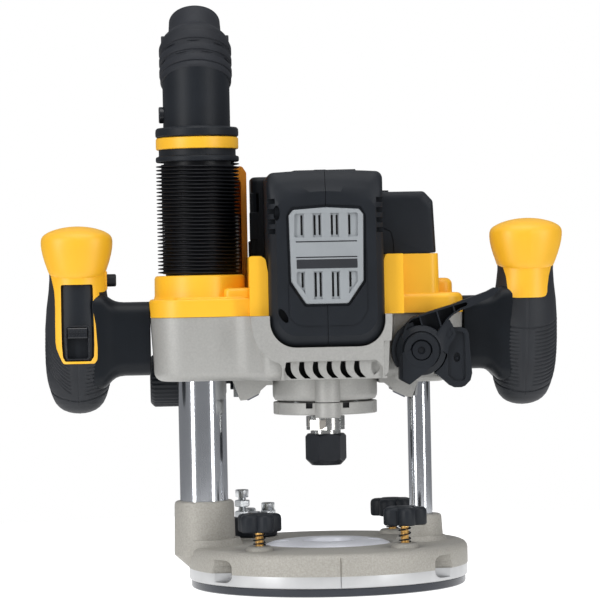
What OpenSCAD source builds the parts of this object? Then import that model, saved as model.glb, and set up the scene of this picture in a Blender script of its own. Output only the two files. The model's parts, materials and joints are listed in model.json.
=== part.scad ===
// Cordless plunge router: a motor head that slides down two columns on a round base.
// Millimetres. The origin is on the collet axis at the underside of the sub-base.
// X points to the right, Y to the back and Z up.

/* [Base] */
// Radius of the plastic sub-base
sub_base_r = 83; // [82:0.5:84]
// Thickness of the plastic sub-base
sub_base_t = 5; // [4.5:0.5:5]
// Radius of the painted base casting
base_r = 84.6; // [84.2:0.1:85]
// Height of the upper face of the base
base_top = 25; // [24:0.5:26]
// Radius of the guide-rod bores
rod_bore_r = 4.15; // [3.5:0.05:4.3]
// Distance of each guide-rod bore from the collet axis
rod_bore_y = 50; // [48:0.5:51]
// Radius of the bore for template guides
template_bore_r = 15.1; // [14.8:0.1:16]

/* [Columns] */
// X of the hollow dust column
dust_x = -74.5; // [-75:0.1:-74]
// Outer radius of the dust column
dust_r = 14.5; // [14:0.1:14.6]
// X of the slim guide column
guide_x = 57; // [56.5:0.1:57.5]
// Outer radius of the guide column
guide_r = 7; // [6.5:0.1:7.2]

/* [Carriage] */
// Underside of the carriage casting
cast_bottom = 125; // [124.5:0.1:125.5]
// Top of the carriage casting
cast_top = 163.4; // [163:0.1:164]
// Top of the bellows seat
seat_top = 188.4; // [187:0.1:189]

/* [Motor] */
// Half width of the motor housing's nose
nose_w = 34; // [33.5:0.1:34.2]
// Front face of the motor housing
nose_y = -52; // [-53:0.5:-51]
// Top of the motor housing
motor_top = 249; // [247:0.5:250]
// Across-flats size of the collet nut
nut_af = 22; // [20:0.5:24]
// Radius of the shank bore in the collet
collet_bore_r = 6.35; // [4:0.05:6.4]

/* [Handles] */
// X of the left handle
left_x = -148.5; // [-149:0.1:-148]
// X of the right handle
right_x = 122; // [121.5:0.1:122.5]

/* [Hidden] */
$fn = 48;
paint = "#b0afaa";
yellow = "#fdc42d";
slate = "#2b2e35";
steel = "#c3c5c8";
chrome = "#d8dadd";
brass = "#d9a04a";
slack = 0.05;            // running fit between a shaft and its hole, on the radius
clear = 0.4;             // gap between pieces that move past each other
boss_top = 52;           // top of the dust column's boss
guide_top = 178;         // top of the guide column
cap_top = 238;           // top of the black column cap
dust_top = 262;          // top of the dust column
bellows_top = 256.9;
bellows_fins = 30;
ring_z = 264.4;          // lower face of the lock ring
flange_z = 272;          // lower face of the port connector's flange
port_z = 304;            // where the hose cuff meets the connector, on the axis
cuff_tilt = 25;          // lean of the hose cuff towards the back
machined_r = base_r - 0.4;
rod_bore_z = 13.4;
knob_x = 43;
turret_at = [-44, 40];
turret_screw_r = 9.6;
depth_at = [-50.8, 33.2];
pinion_r = 6;
pinion_at = [0, depth_at.y + 2.6 + pinion_r, 124];
rack_pitch = pinion_r * 2 * 3.14159265 / 12;
cavity_r = 30.3;         // motor cavity, shared by the casting and the housings
bearing_r = 16;
lever_at = [56.2, 0, 141];
lens_tilt = 26;          // lean of the work lights towards the collet
split_z = 192;           // where a handle's grip ends and its crown begins

// Helpers

function arc(c, r, a0, a1, n = 6) =
    [for (i = [0:n]) let(a = a0 + (a1 - a0) * i / n) [c.x + r * cos(a), c.y + r * sin(a)]];

module box(low, high) translate(low) cube(high - low);

module at(x, y = 0, z = 0) translate([x, y, z]) children();

module along_x(x0, x1, y, z, r) translate([x0, y, z]) rotate([0, 90, 0]) cylinder(r = r, h = x1 - x0);

module along_y(x, y0, y1, z, r) translate([x, y0, z]) rotate([-90, 0, 0]) cylinder(r = r, h = y1 - y0);

// An outline drawn in X and Z, extruded from y0 to y1
module slab_y(y0, y1) translate([0, y1, 0]) rotate([90, 0, 0]) linear_extrude(height = y1 - y0) children();

module tube(r_out, r_in, z0, z1) difference() {
    at(0, 0, z0) cylinder(r = r_out, h = z1 - z0);
    at(0, 0, z0 - 1) cylinder(r = r_in, h = z1 - z0 + 2);
}

function rounded(low, high, r, n = 5) = concat(
    arc([low.x + r, low.y + r], r, 180, 270, n), arc([high.x - r, low.y + r], r, 270, 360, n),
    arc([high.x - r, high.y - r], r, 0, 90, n), arc([low.x + r, high.y - r], r, 90, 180, n));

module rounded_box(low, high, r) at(0, 0, low.z) linear_extrude(height = high.z - low.z)
    polygon(rounded([low.x, low.y], [high.x, high.y], r));

// A round wire wound from z0 to z1
module coil(r, wire, z0, z1, turns, per_turn, sides) {
    steps = turns * per_turn;
    points = [for (i = [0:steps]) let(a = 360 * i / per_turn, z = z0 + wire + (z1 - z0 - 2 * wire) * i / steps)
        for (k = [0:sides - 1]) let(b = 360 * k / sides, d = r + wire * cos(b))
            [d * cos(a), d * sin(a), z + wire * sin(b)]];
    side = [for (i = [0:steps - 1], k = [0:sides - 1]) let(m = (k + 1) % sides)
        each [[i * sides + k, i * sides + m, (i + 1) * sides + m],
              [i * sides + k, (i + 1) * sides + m, (i + 1) * sides + k]]];
    start = [[for (k = [sides - 1:-1:0]) k]];
    end = [[for (k = [0:sides - 1]) steps * sides + k]];
    polyhedron(points, concat(start, side, end), convexity = 10);
}

// Base

module sub_base_screw_places() for (a = [90, 210, 330]) rotate(a) at(66) children();

module sub_base() color("#3a3f4b") difference() {
    cylinder(r = sub_base_r, h = sub_base_t);
    at(0, 0, -1) cylinder(r = 30, h = sub_base_t + 2);
    sub_base_screw_places() {
        at(0, 0, -1) cylinder(r = 2.3, h = sub_base_t + 2);
        at(0, 0, -0.01) cylinder(r1 = 4.8, r2 = 2.3, h = 2.51);
    }
}

// Sub-base screws, the guide column's screw and the turret's pivot pin
module base_fasteners() color(steel) {
    sub_base_screw_places() {
        at(0, 0, 0.4) cylinder(r1 = 4.1, r2 = 2, h = 2.1);
        at(0, 0, 2.4) cylinder(r = 2, h = 11);
    }
    at(guide_x, 0, 5.4) cylinder(r = 5, h = 3.4);
    at(guide_x, 0, 8.7) cylinder(r = 3, h = 13);
    at(turret_at.x, turret_at.y, 14.4) cylinder(r = 3, h = 25);
    at(turret_at.x, turret_at.y, 39) cylinder(r = 4.6, h = 2.4);
}

module knob_places() {
    at(-knob_x, -rod_bore_y) children();
    at(knob_x, -rod_bore_y) children();
    at(knob_x, rod_bore_y) children();
}

module base_rim() rotate_extrude($fn = 96) polygon([
    [0, sub_base_t], [machined_r, sub_base_t], [machined_r, 11.4], [base_r, 11.6], [base_r, base_top - 3.6],
    [base_r - 1.2, base_top - 1.1], [base_r - 3.6, base_top], [0, base_top]]);

module base_bosses() {
    at(dust_x, 0, 11) cylinder(r1 = 9, r2 = 18.5, h = 8.6);
    at(dust_x, 0, 19.5) cylinder(r1 = 18.5, r2 = 18, h = boss_top - 21);
    at(dust_x, 0, boss_top - 1.6) cylinder(r1 = 18, r2 = 16.6, h = 1.6);
    at(guide_x, 0, base_top - 1) cylinder(r1 = 13.2, r2 = 12.1, h = 15.5);
    at(guide_x, 0, base_top + 14.4) cylinder(r1 = 12.1, r2 = 10.8, h = 1.6);
    knob_places() at(0, 0, base_top - 1) cylinder(r1 = 8, r2 = 7, h = 4);
    at(turret_at.x, turret_at.y, base_top - 1) cylinder(r = 15.5, h = 2);
}

module base_casting() color(paint) difference() {
    union() {
        base_rim();
        base_bosses();
    }
    at(0, 0, -1) cylinder(r = 34, h = 30);
    at(0, 0, 10) cylinder(r = 39.8, h = 30);
    box([dust_x, -10, 0], [-30, 10, 17]);
    at(dust_x, 0, 0) cylinder(r = 12.5, h = 30);
    at(dust_x, 0, 18) cylinder(r = dust_r + slack, h = 60);
    at(guide_x, 0, 12) cylinder(r = guide_r + slack, h = 60);
    at(guide_x, 0, 0) cylinder(r = 3.2, h = 20);
    at(guide_x, 0, 0) cylinder(r = 5.6, h = 9);
    for (y = [-rod_bore_y, rod_bore_y]) {
        along_x(-90, 90, y, rod_bore_z, rod_bore_r);
        for (x = [-90, 63]) box([x, y - 5.75, 7], [x + 27, y + 5.75, 20]);
    }
    knob_places() at(0, 0, 15) cylinder(r = 2.5 + slack, h = 20);
    at(turret_at.x, turret_at.y, 14) cylinder(r = 3 + slack, h = 20);
    sub_base_screw_places() cylinder(r = 2 + slack, h = 14);
    at(3, -base_r - 0.3, 0) rotate(45) box([-0.9, -0.9, 0], [0.9, 0.9, 40]);
}

module template_insert() color("#c5c7d3") rotate_extrude($fn = 96) polygon([
    [template_bore_r, 10], [39.4, 10], [39.4, 22], [37.5, 24.6], [33, 26], [template_bore_r, 26]]);

module dust_column() color(chrome) at(dust_x) tube(dust_r, dust_r - 1.8, 18, dust_top);

module guide_column() color(chrome) at(guide_x) difference() {
    at(0, 0, 12) cylinder(r = guide_r, h = guide_top - 12);
    at(0, 0, 11) cylinder(r = 3 + slack, h = 20);
    at(0, 0, 24) cylinder(r = 5.3, h = 200);
}

module column_spring() color("#6a6d72") at(guide_x) coil(3.9, 0.8, 24.2, cap_top - 2.8, 18, 9, 5);

module clamp_springs() color("#222428") knob_places() coil(3.45, 0.5, 28.1, 34.8, 3, 12, 6);

// Clamp knobs: five lobes round a brass stud

module clamp_knob(turn) color(slate) rotate(turn) difference() {
    at(0, 0, 35) union() {
        cylinder(r = 9.6, h = 12);
        for (a = [0:72:288]) rotate(a) at(8.9, 0, 0) {
            cylinder(r = 4.45, h = 10.8);
            at(0, 0, 10.7) cylinder(r1 = 4.4, r2 = 3.2, h = 1.3);
        }
    }
    at(0, 0, 34) cylinder(r = 2.5 + slack, h = 10);
}

module clamp_stud() color(brass) at(0, 0, 17.8) cylinder(r = 2.5, h = 26);

module clamp_knob_front_left() at(-knob_x, -rod_bore_y) clamp_knob(8);
module clamp_knob_front_right() at(knob_x, -rod_bore_y) clamp_knob(-12);
module clamp_knob_rear_right() at(knob_x, rod_bore_y) clamp_knob(30);
module clamp_stud_front_left() at(-knob_x, -rod_bore_y) clamp_stud();
module clamp_stud_front_right() at(knob_x, -rod_bore_y) clamp_stud();
module clamp_stud_rear_right() at(knob_x, rod_bore_y) clamp_stud();

// Depth turret with three stop screws of different heights

module on_turret(k) at(turret_at.x, turret_at.y) rotate(225 + 120 * k) at(turret_screw_r) children();

module turret() color(slate) difference() {
    at(turret_at.x, turret_at.y, 26.3) cylinder(r = 15, h = 12);
    at(turret_at.x, turret_at.y, 20) cylinder(r = 3 + slack, h = 30);
    for (k = [0:2]) on_turret(k) at(0, 0, 28) cylinder(r = 2.5, h = 20);
}

module stop_screws() color(steel) for (k = [0:2]) on_turret(k) {
    top = [55.7, 47, 43][k];
    at(0, 0, 28) cylinder(r = 2.45, h = top - 30);
    at(0, 0, top - 4) cylinder(r = 4, h = 4);
    at(0, 0, 38.3) cylinder(r = 4.8, h = 3.4, $fn = 6);
    if (k == 0) at(0, 0, 45) cylinder(r = 4.8, h = 4, $fn = 6);
}

// Dust port on top of the dust column

module bellows() color("#17191d") at(dust_x) {
    pitch = (bellows_top - seat_top) / bellows_fins;
    fins = [for (i = [0:bellows_fins - 1]) let(z = seat_top + i * pitch)
        each [[22, z + 0.05 * pitch], [22, z + 0.3 * pitch], [25.2, z + 0.45 * pitch], [25.2, z + 0.7 * pitch],
              [22, z + 0.9 * pitch]]];
    rotate_extrude($fn = 64) polygon(concat([[20.2, seat_top]], fins, [[20.2, bellows_top]]));
}

module bellows_collar() color(slate) at(dust_x) difference() {
    union() {
        at(0, 0, bellows_top) cylinder(r = 25.2, h = 3.5);
        at(0, 0, bellows_top + 3.4) cylinder(r = 23.3, h = ring_z - bellows_top - 3.4);
    }
    at(0, 0, 200) cylinder(r = dust_r + slack, h = 100);
}

module lock_ring() color(yellow) at(dust_x) tube(25, 21, ring_z + 0.1, flange_z - 0.3);

module port_connector() color(slate) at(dust_x) difference() {
    union() {
        at(0, 0, flange_z) cylinder(r = 25.1, h = 5.6);
        at(0, 0, ring_z + 0.4) cylinder(r = 20.6, h = 10);
        at(0, 0, flange_z + 5) cylinder(r = 20.3, h = 40);
    }
    at(0, 0, ring_z - 1) cylinder(r = 17, h = 60);
    at(0, 0, port_z) rotate([-cuff_tilt, 0, 0]) at(0, 0, 30) cube(60, center = true);
    along_x(-24, -10, 0, 285.7, 5.3);
}

module port_button() color("#3b3f48") difference() {
    along_x(dust_x - 22.9, dust_x - 17.4, 0, 285.7, 5);
    box([dust_x - 30, -20, 270], [dust_x - 22.4, -4.2, 300]);
}

// Rubber cuff: a wide socket leaning back, then a narrower mouth leaning further
module hose_cuff() color("#26292f") at(dust_x, 0, port_z) rotate([-cuff_tilt, 0, 0]) difference() {
    union() {
        at(0, 0, 0.05) cylinder(r = 21.4, h = 27);
        for (z = [7, 14, 21]) at(0, 0, z) cylinder(r = 22, h = 3);
        at(0, 0, 27) cylinder(r1 = 21.4, r2 = 16.5, h = 5);
        at(0, 0, 31) rotate([-9, 0, 0]) cylinder(r = 15.3, h = 14.5);
    }
    at(0, 0, -1) cylinder(r = 17, h = 27);
    at(0, 0, 20) cylinder(r = 13, h = 14);
    at(0, 0, 31) rotate([-9, 0, 0]) cylinder(r = 13, h = 30);
}

// Carriage

plan = concat(
    arc([-83, -11], 22, 180, 270), [[-50, -33], [-44, -44]], arc([-31, -41], 9, 215, 270, 3),
    arc([31, -41], 9, 270, 325, 3), [[38.2, -42], [38.2, -22]], arc([74, -12], 10, 270, 360, 4),
    arc([74, 12], 10, 0, 90, 4), [[48, 22], [46, 42]], arc([36, 42], 10, 0, 90, 4), [[-36, 52]],
    [[-44, 45]], arc([-85, 25], 20, 90, 180));

nose_outline = concat(
    arc([-nose_w + 15, 160], 15, 180, 270), arc([nose_w - 15, 160], 15, 270, 360),
    arc([nose_w - 4, motor_top - 4], 4, 0, 90, 3), arc([-nose_w + 4, motor_top - 4], 4, 90, 180, 3));

socket_outline = concat(
    arc([-nose_w + 15, 160], 15.4, 180, 270), arc([nose_w - 15, 160], 15.4, 270, 360),
    [[nose_w + 0.4, 300], [-nose_w - 0.4, 300]]);

module casting_body() {
    at(0, 0, 133) linear_extrude(height = cast_top - 133) polygon(plan);
    intersection() {
        at(0, 0, cast_bottom) linear_extrude(height = 10) polygon(plan);
        box([-102, -48, cast_bottom - 1], [76, 50, 140]);
    }
    rounded_box([40, -19, 121.8], [71, 19, 130], 9);
    at(0, 0, 111.3) cylinder(r = 31.7, h = 20);
    at(0, -31, 111.3) cylinder(r = 7.6, h = 20);
    for (s = [-1, 1]) slab_y(-17, 13) polygon([
        [s * 33, 126], [s * 33, 121.6], [s * 36, 121.5], [s * 39.7, 118.3], [s * 40, 116.8], [s * 48, 112.9],
        [s * 51.7, 112.6], [s * 56, 126]]);
    box([-85, 34, 114], [-60, 46, 130]);
    along_y(lever_at.x, -23.6, -20, lever_at.z, 12);
}

module louvres() for (i = [0:6])
    at(-23 + i * 8.2, 0, 130.5) rotate([0, -14, 0]) box([-1.6, -60, -5], [1.6, -22, 5]);

module carriage_casting() color(paint) difference() {
    casting_body();
    at(0, 0, 127) cylinder(r = cavity_r, h = 60);
    at(0, 0, 100) cylinder(r = bearing_r + slack, h = 17.6);
    at(0, 0, 100) cylinder(r = 9.6, h = 40);
    slab_y(-70, 20.4) polygon(socket_outline);
    at(dust_x, 0, 100) cylinder(r = 17 + slack, h = 90);
    at(guide_x, 0, 100) cylinder(r = 9.5 + slack, h = 90);
    at(depth_at.x, depth_at.y, 100) cylinder(r = 4 + slack, h = 90);
    along_x(-90, -40, pinion_at.y, pinion_at.z, 3 + slack);
    along_x(-57.5, -44, pinion_at.y, pinion_at.z, 8);
    along_x(-120, -87.5, pinion_at.y, pinion_at.z, 17);
    box([36.4, -60, 118], [44, -23.9, 142]);
    louvres();
    rounded_box([32.5, -54, 126], [40.5, -38, 147.5], 3.8);
    along_y(lever_at.x, -30, -12, lever_at.z, 3 + slack);
    along_y(0, 5, 60, 121, 2.3);
    along_y(0, 26, 60, 121, 6.3);
    along_x(-110, -92.5, 0, 150, 3.2);
    along_x(68, 90, 0, 150, 3.2);
    for (k = [45, 135, 225, 315]) rotate(k) at(25, 0, 100) cylinder(r = 2 + slack, h = 21);
    for (s = [-1, 1]) light_pocket(s);
}

module light_place(s) at(s * 44.2, -12.2, 114.8) rotate([0, s * lens_tilt, 0]) children();

module light_pocket(s) light_place(s) box([-4.2, -3.2, -4], [4.2, 3.2, 3.2]);

module light_lenses() color("#30343c") for (s = [-1, 1]) light_place(s) box([-4, -3, -0.9], [4, 3, 3]);

module column_bushes() color("#b08d57") {
    for (z = [125.3, 150]) {
        at(dust_x) tube(17, dust_r + slack, z, z + 12);
        at(guide_x) tube(9.5, guide_r + slack, z, z + 12);
    }
}

module bearing_retainer() color(paint) difference() {
    union() {
        at(0, 0, 105.5) cylinder(r = 31.4, h = 5.7);
        at(0, 0, 103.5) cylinder(r1 = 25, r2 = 31.4, h = 2.1);
        at(0, -31, 101.9) cylinder(r = 7.6, h = 9.3);
    }
    at(0, 0, 100) cylinder(r = 12.2, h = 20);
    at(0, 0, 106) cylinder(r = bearing_r + slack, h = 20);
    for (s = [-1, 1]) box([s * 11 - 2, -33, 107.2], [s * 11 + 2, -26, 110]);
    for (k = [45, 135, 225, 315]) rotate(k) at(25) {
        at(0, 0, 100) cylinder(r = 2.2, h = 20);
        at(0, 0, 100) cylinder(r = 4, h = 6.6);
    }
}

module retainer_screws() color(steel) for (k = [45, 135, 225, 315]) rotate(k) at(25) {
    at(0, 0, 104) cylinder(r = 3.7, h = 2.6);
    at(0, 0, 106.5) cylinder(r = 2, h = 14);
}

module bearings() color(steel) {
    tube(bearing_r, 7.5 + slack, 106.2, 117.4);
    tube(11, 4 + slack, 199.3, 206);
}

module bearing_bracket() color("#4a4d52") difference() {
    union() {
        at(0, 0, 196.3) cylinder(r = 29.8, h = 3);
        at(0, 0, 196.3) cylinder(r = 14, h = 9.7);
    }
    at(0, 0, 199.2) cylinder(r = 11 + slack, h = 20);
    at(0, 0, 190) cylinder(r = 6, h = 20);
}

// Yellow cover on top of the carriage

module cover_deck() {
    difference() {
        at(0, 0, cast_top) linear_extrude(height = 10.6) polygon(concat(
            arc([-83, -11], 22, 180, 270), [[-46, -33], [-46, 45]], arc([-85, 25], 20, 90, 180)));
        along_x(-120, -104.9, 0, 150, 23);
    }
    at(dust_x, 0, cast_top) cylinder(r = 27.5, h = seat_top - cast_top);
    at(0, 0, cast_top) linear_extrude(height = 11.8) polygon(rounded([36, -25.4], [83.5, 19.5], 8));
    rounded_box([-60, -26, 170], [-44, 19.5, 180.4], 4);
    rounded_box([62, 0, 170], [79, 19.4, 184], 5);
}

module deck_cover() color(yellow) difference() {
    union() {
        cover_deck();
        rounded_box([-46.5, -42, cast_top], [-34.5, 19.5, 199], 3);
        rounded_box([34.5, -42, cast_top], [46, 19.5, 199], 3);
        rounded_box([36, -23, cast_top], [69, 19.5, 198.9], 5);
    }
    at(dust_x, 0, 100) cylinder(r = dust_r + 1, h = 150);
    at(guide_x, 0, 100) cylinder(r = guide_r + clear + 0.3, h = 150);
    at(depth_at.x, depth_at.y, 100) cylinder(r = 4.4, h = 150);
}

module column_cap() color(slate) difference() {
    slab_y(-23, 19.5) polygon([
        [34.6, 199.1], [69, 199.1], [69, cap_top - 6.5], [62.5, cap_top], [34.6, cap_top]]);
    at(guide_x, 0, 150) cylinder(r = guide_r + clear + 0.3, h = cap_top - 2.6 - 150);
}

module scale_tower() color("#e8930f") difference() {
    slab_y(25, 42) polygon(concat(
        [[-58, 174.1], [-43.2, 174.1], [-43.2, 210], [-44.6, 213]],
        arc([-47.6, 252], 3, 0, 90, 3), arc([-55, 252], 3, 90, 180, 3)));
    at(depth_at.x, depth_at.y, 170) cylinder(r = 4.4, h = 81);
}

// Depth rod with a rack, driven by a pinion on the knob's shaft

module depth_rod() color(steel) difference() {
    at(depth_at.x, depth_at.y, 113) cylinder(r = 4, h = 112);
    for (i = [-4:17]) slab_rack(pinion_at.z + i * rack_pitch);
}

module slab_rack(z) translate([depth_at.x - 5, 0, z]) rotate([90, 0, 90]) linear_extrude(height = 10)
    at(depth_at.y) polygon([[1.4, -0.55], [4.5, -1.4], [4.5, 1.4], [1.4, 0.55]]);

module depth_knob() color(slate) {
    translate(pinion_at) {
        along_x(-90, -46, 0, 0, 3);
        at(-56.5) rotate([90, 0, 90]) linear_extrude(height = 10) union() {
            circle(4.4);
            for (k = [0:11]) rotate(k * 30) polygon([[4, -0.78], [6.8, -0.38], [6.8, 0.38], [4, 0.78]]);
        }
        along_x(-103.5, -88, 0, 0, 16.5);
        translate([-106, 0, 0]) rotate([0, 90, 0]) cylinder(r1 = 13.5, r2 = 16.5, h = 2.6);
    }
}

// Motor

module shell(side) color(slate) difference() {
    slab_y(nose_y, 20) polygon(nose_outline);
    at(0, 0, 100) cylinder(r = cavity_r - 0.3, h = 96.2 + 10.8);
    box([-30, nose_y + 6, 207], [30, 17, motor_top - 4]);
    box([side > 0 ? -50 : 0, -80, 100], [side > 0 ? 0 : 50, 40, 300]);
    grille_recess();
    for (s = [-1, 1], z = [216:4.6:229.8])
        box([s * 32.5 - 3, nose_y + 8, z], [s * 32.5 + 3, nose_y + 10.6, z + 2.4]);
    along_x(-5, 5, 8, motor_top - 5, 9);
}

module grille_recess() slab_y(nose_y - 1, nose_y + 2) polygon(grille_outline(0.2));

function grille_outline(e) = [
    [-12 - e, 170 - e], [12 + e, 170 - e], [22 + e, 184], [22 + e, 223], [18.5, 226.5 + e],
    [-18.5, 226.5 + e], [-22 - e, 223], [-22 - e, 184]];

module motor_shell_left() shell(-1);
module motor_shell_right() shell(1);

module grille_plate() color("#a7aaad") difference() {
    slab_y(nose_y - 1.2, nose_y + 1.9) polygon(grille_outline(0));
    for (x = [-14, -6.5, -3.4, 3.4, 6.5, 14]) {
        box([x - 0.6, -60, 211], [x + 0.6, -40, 222.5]);
        box([x - 0.6, -60, abs(x) > 10 ? 180 : 174.5], [x + 0.6, -40, 188]);
    }
}

module rear_housing() color(slate) difference() {
    rounded_box([-43, 20.2, cast_top + 0.2], [43, 70, motor_top - 1], 4);
    at(0, 0, 100) cylinder(r = cavity_r, h = 107);
    box([-39, 33, 168], [39, 66.5, motor_top - 4.5]);
    box([-30.2, 15, 209], [30.2, 40, motor_top - 6]);
    box([-16, 60, 186], [16, 80, 201]);
    box([-60, 22, 100], [-40, 45.2, 215]);
}

module battery_rails() color("#3b3f48") for (s = [-1, 1]) difference() {
    box([s * 27 - 4, 70.1, 178], [s * 27 + 4, 81, 236]);
    box([s * 24.5 - 3.5, 73, 170], [s * 24.5 + 3.5, 77, 232]);
}

module battery_terminals() color(brass) {
    for (x = [-10.5, -3.5, 3.5, 10.5]) box([x - 0.5, 64, 189], [x + 0.5, 79, 198]);
    box([-15.5, 62, 187], [15.5, 66, 200]);
}

module control_board() color("#2f5d3a") {
    box([-30, 52, 172], [30, 53.6, 240]);
    for (x = [-20, -7, 7, 20]) box([x - 4, 53.6, 178], [x + 4, 58, 186]);
    at(0, 0, 215) along_y(0, 53.6, 61, 5, 6);
}

module stator() color("#7d8086") difference() {
    at(0, 0, 149) cylinder(r = 29.5, h = 41);
    at(0, 0, 140) cylinder(r = 17.8, h = 60);
    for (k = [0:5]) rotate(k * 60) box([16, -4, 140], [25.5, 4, 200]);
}

module rotor() color("#5a5d63") tube(17.2, 7.5 + slack, 151, 188);

module fan() color(slate) difference() {
    union() {
        at(0, 0, 129) cylinder(r = 28.5, h = 2);
        at(0, 0, 129) cylinder(r = 11, h = 14);
        for (k = [0:8]) rotate(k * 40) box([10, -0.7, 130], [28, 0.7, 142]);
    }
    at(0, 0, 120) cylinder(r = 7.5 + slack, h = 40);
}

module spindle() color(chrome) difference() {
    union() {
        at(0, 0, 101.6) cylinder(r = 7.5, h = 90.4);
        at(0, 0, 191) cylinder(r = 4, h = 15);
        at(0, 0, 93.5) cylinder(r = 11.6, h = 8.2);
        at(0, 0, 78) cylinder(r = 9.1, h = 16);
    }
    at(0, 0, 70) cylinder(r = 6.9, h = 28);
    for (a = [0, 90]) rotate(a) along_y(0, -20, 20, 121, 2.3);
    for (s = [-1, 1]) rotate(-28) box([-20, s * 19.5 - 9.3, 92], [20, s * 19.5 + 9.3, 99.5]);
    rotate(-50) along_x(4, 20, 0, 97.8, 1.8);
}

module collet() color(steel) tube(6.85, collet_bore_r, 73.4, 97.6);

module collet_nut() color("#2a2d33") difference() {
    intersection() {
        at(0, 0, 72) rotate(20) cylinder(r = nut_af / 2 / cos(30), h = 18, $fn = 6);
        union() {
            at(0, 0, 72) cylinder(r1 = 9.4, r2 = 13, h = 3.6);
            at(0, 0, 75.5) cylinder(r = 13, h = 13.2);
            at(0, 0, 88.6) cylinder(r1 = 13, r2 = 11.6, h = 1.4);
        }
    }
    at(0, 0, 77.6) cylinder(r = 9.1 + slack, h = 20);
    at(0, 0, 70) cylinder(r = 6.95, h = 10);
}

module spindle_lock() color("#3b3f48") {
    along_y(0, 8, 34, 121, 2);
    along_y(0, 33.9, 40, 121, 6);
}

module speed_dial() color("#1d1f24") along_x(-3.5, 3.5, 8, motor_top - 5, 7.4);

// Handles

function grip(inset) = [for (p = [
    [0, 106.2], [6.5, 107.1], [9.7, 108.4], [14.3, 112.5], [16.6, 117.4], [18.1, 122.2], [19.1, 126.4],
    [19.9, 133], [20.2, 146], [20, 158], [19, 170], [17.6, 180], [16.8, 188], [17, split_z]]) [max(0, p.x - inset), p.y]];

function crown() = [
    [0, split_z + 0.1], [17, split_z + 0.1], [18.6, 197], [20.6, 202.5], [21.7, 208.3], [20.9, 212.8],
    [17.6, 216.1], [11, 218.5], [0, 219.4]];

module grip_solid(inset = 0) rotate_extrude() polygon(concat(grip(inset), [[0, split_z]]));

module stub(x0, x1) at(x0) rotate([90, 0, 90]) linear_extrude(height = x1 - x0)
    polygon(rounded([-16, 128.7], [16, 173], 9));

// One half of a handle: side is 1 for the half on the +X side
module grip_half(side, stub_side) difference() {
    union() {
        grip_solid();
        if (side == stub_side) children();
    }
    box([side > 0 ? -80 : 0, -80, 90], [side > 0 ? 0 : 80, 80, 300]);
    at(0, 0, 118) cylinder(r = 14, h = 69);
    at(0, 0, 186) cylinder(r = 10, h = 20);
}

module switch_pocket() at(left_x) box([-13.5, -40, 136], [13.5, -12, split_z + 1]);

module left_handle_outer() color(slate) difference() {
    at(left_x) grip_half(-1, 1);
    switch_pocket();
}

module left_handle_inner() color(slate) difference() {
    at(left_x) grip_half(1, 1) stub(15, -105 - left_x);
    switch_pocket();
    along_x(-150, -92, 0, 150, 3.2);
    along_x(left_x, left_x + 30, 0, 186.5, 4 + slack);
}

module right_handle_outer() color(slate) at(right_x) grip_half(1, -1);

module right_handle_inner() color(slate) difference() {
    at(right_x) grip_half(-1, -1) stub(84 - right_x, -15);
    along_x(80, 120, 0, 150, 3.2);
}

module handle_crowns() color(yellow) for (x = [left_x, right_x]) at(x) difference() {
    rotate_extrude() polygon(crown());
    at(0, 0, 190) cylinder(r = 13, h = 18);
}

module switch_unit() color("#3b3f48") at(left_x) difference() {
    intersection() {
        rotate_extrude() polygon(concat(grip(-0.9), [[0, split_z]]));
        box([-13.3, -40, 136.2], [13.3, -12.2, split_z - 0.1]);
    }
    box([-6.4, -40, 139.7], [6.4, -15, 158.6]);
}

module handle_button() color(slate) along_x(left_x + 11, left_x + 24, 0, 186.5, 4);

module power_switch() color("#3b3f48") at(left_x) box([-5.9, -20.6, 151.8], [5.9, -15.3, 158.4]);

// Plunge-lock lever

module plunge_lever() color(slate) at(lever_at.x, 0, lever_at.z) difference() {
    union() {
        along_y(0, -38, -24, 0, 15);
        slab_y(-33, -26) polygon(concat([[0, 0]], arc([0, 0], 17.6, 105, 215, 8)));
        slab_y(-37, -27) polygon([[-13.4, -3], [-13.4, -17], [-7.4, -20.3], [9.5, -9], [1.6, 0]]);
        slab_y(-36, -26) polygon([[-9.5, 13.4], [-5.3, 19.4], [1.2, 21.7], [18.7, 26.8], [35.3, 32.8],
            [44.5, 36.6], [46.8, 36], [43.6, 31.8], [29.3, 25.2], [19.6, 21], [16, 17], [9, 9]]);
        slab_y(-36, -34.3) polygon([[9.2, 8.5], [16.2, 18], [19.2, 14.3], [21, 9.2], [16.4, 2.3], [13, 0]]);
        slab_y(-25.6, -24.1) polygon([[8, 9], [8, -9], [26, -12], [26, 9]]);
    }
    along_y(0, -50, -20, 0, 3 + slack);
    along_y(0, -50, -34, 0, 5.95);
    slab_y(-40, -28) polygon([[-3.6, 18.8], [1.2, 20.3], [18.7, 25.5], [27.5, 28.1], [28.4, 27.2], [19.6, 22.3],
        [14.6, 17.8], [10.4, 12.5], [0, 16.5]]);
}

module lever_paddle() color(slate) at(lever_at.x, 0, lever_at.z) difference() {
    slab_y(-34, -25.9) polygon([[19.6, 13.4], [24.2, 13.4], [27.5, 12], [28.8, 9.2], [30.5, -14.3], [29.3, -18.5],
        [26.1, -21.7], [23.8, -22.6], [19.6, -22.6], [16.8, -21.2], [15.6, -15], [15.4, 2], [16.4, 10]]);
    slab_y(-40, -32) polygon(rounded([17.8, -18.4], [26.4, 10.4], 2.5));
}

module lever_screw() color("#22252b") {
    along_y(lever_at.x, -34.3, -13, lever_at.z, 3);
    along_y(lever_at.x, -37.8, -34.2, lever_at.z, 5.8);
}

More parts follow.
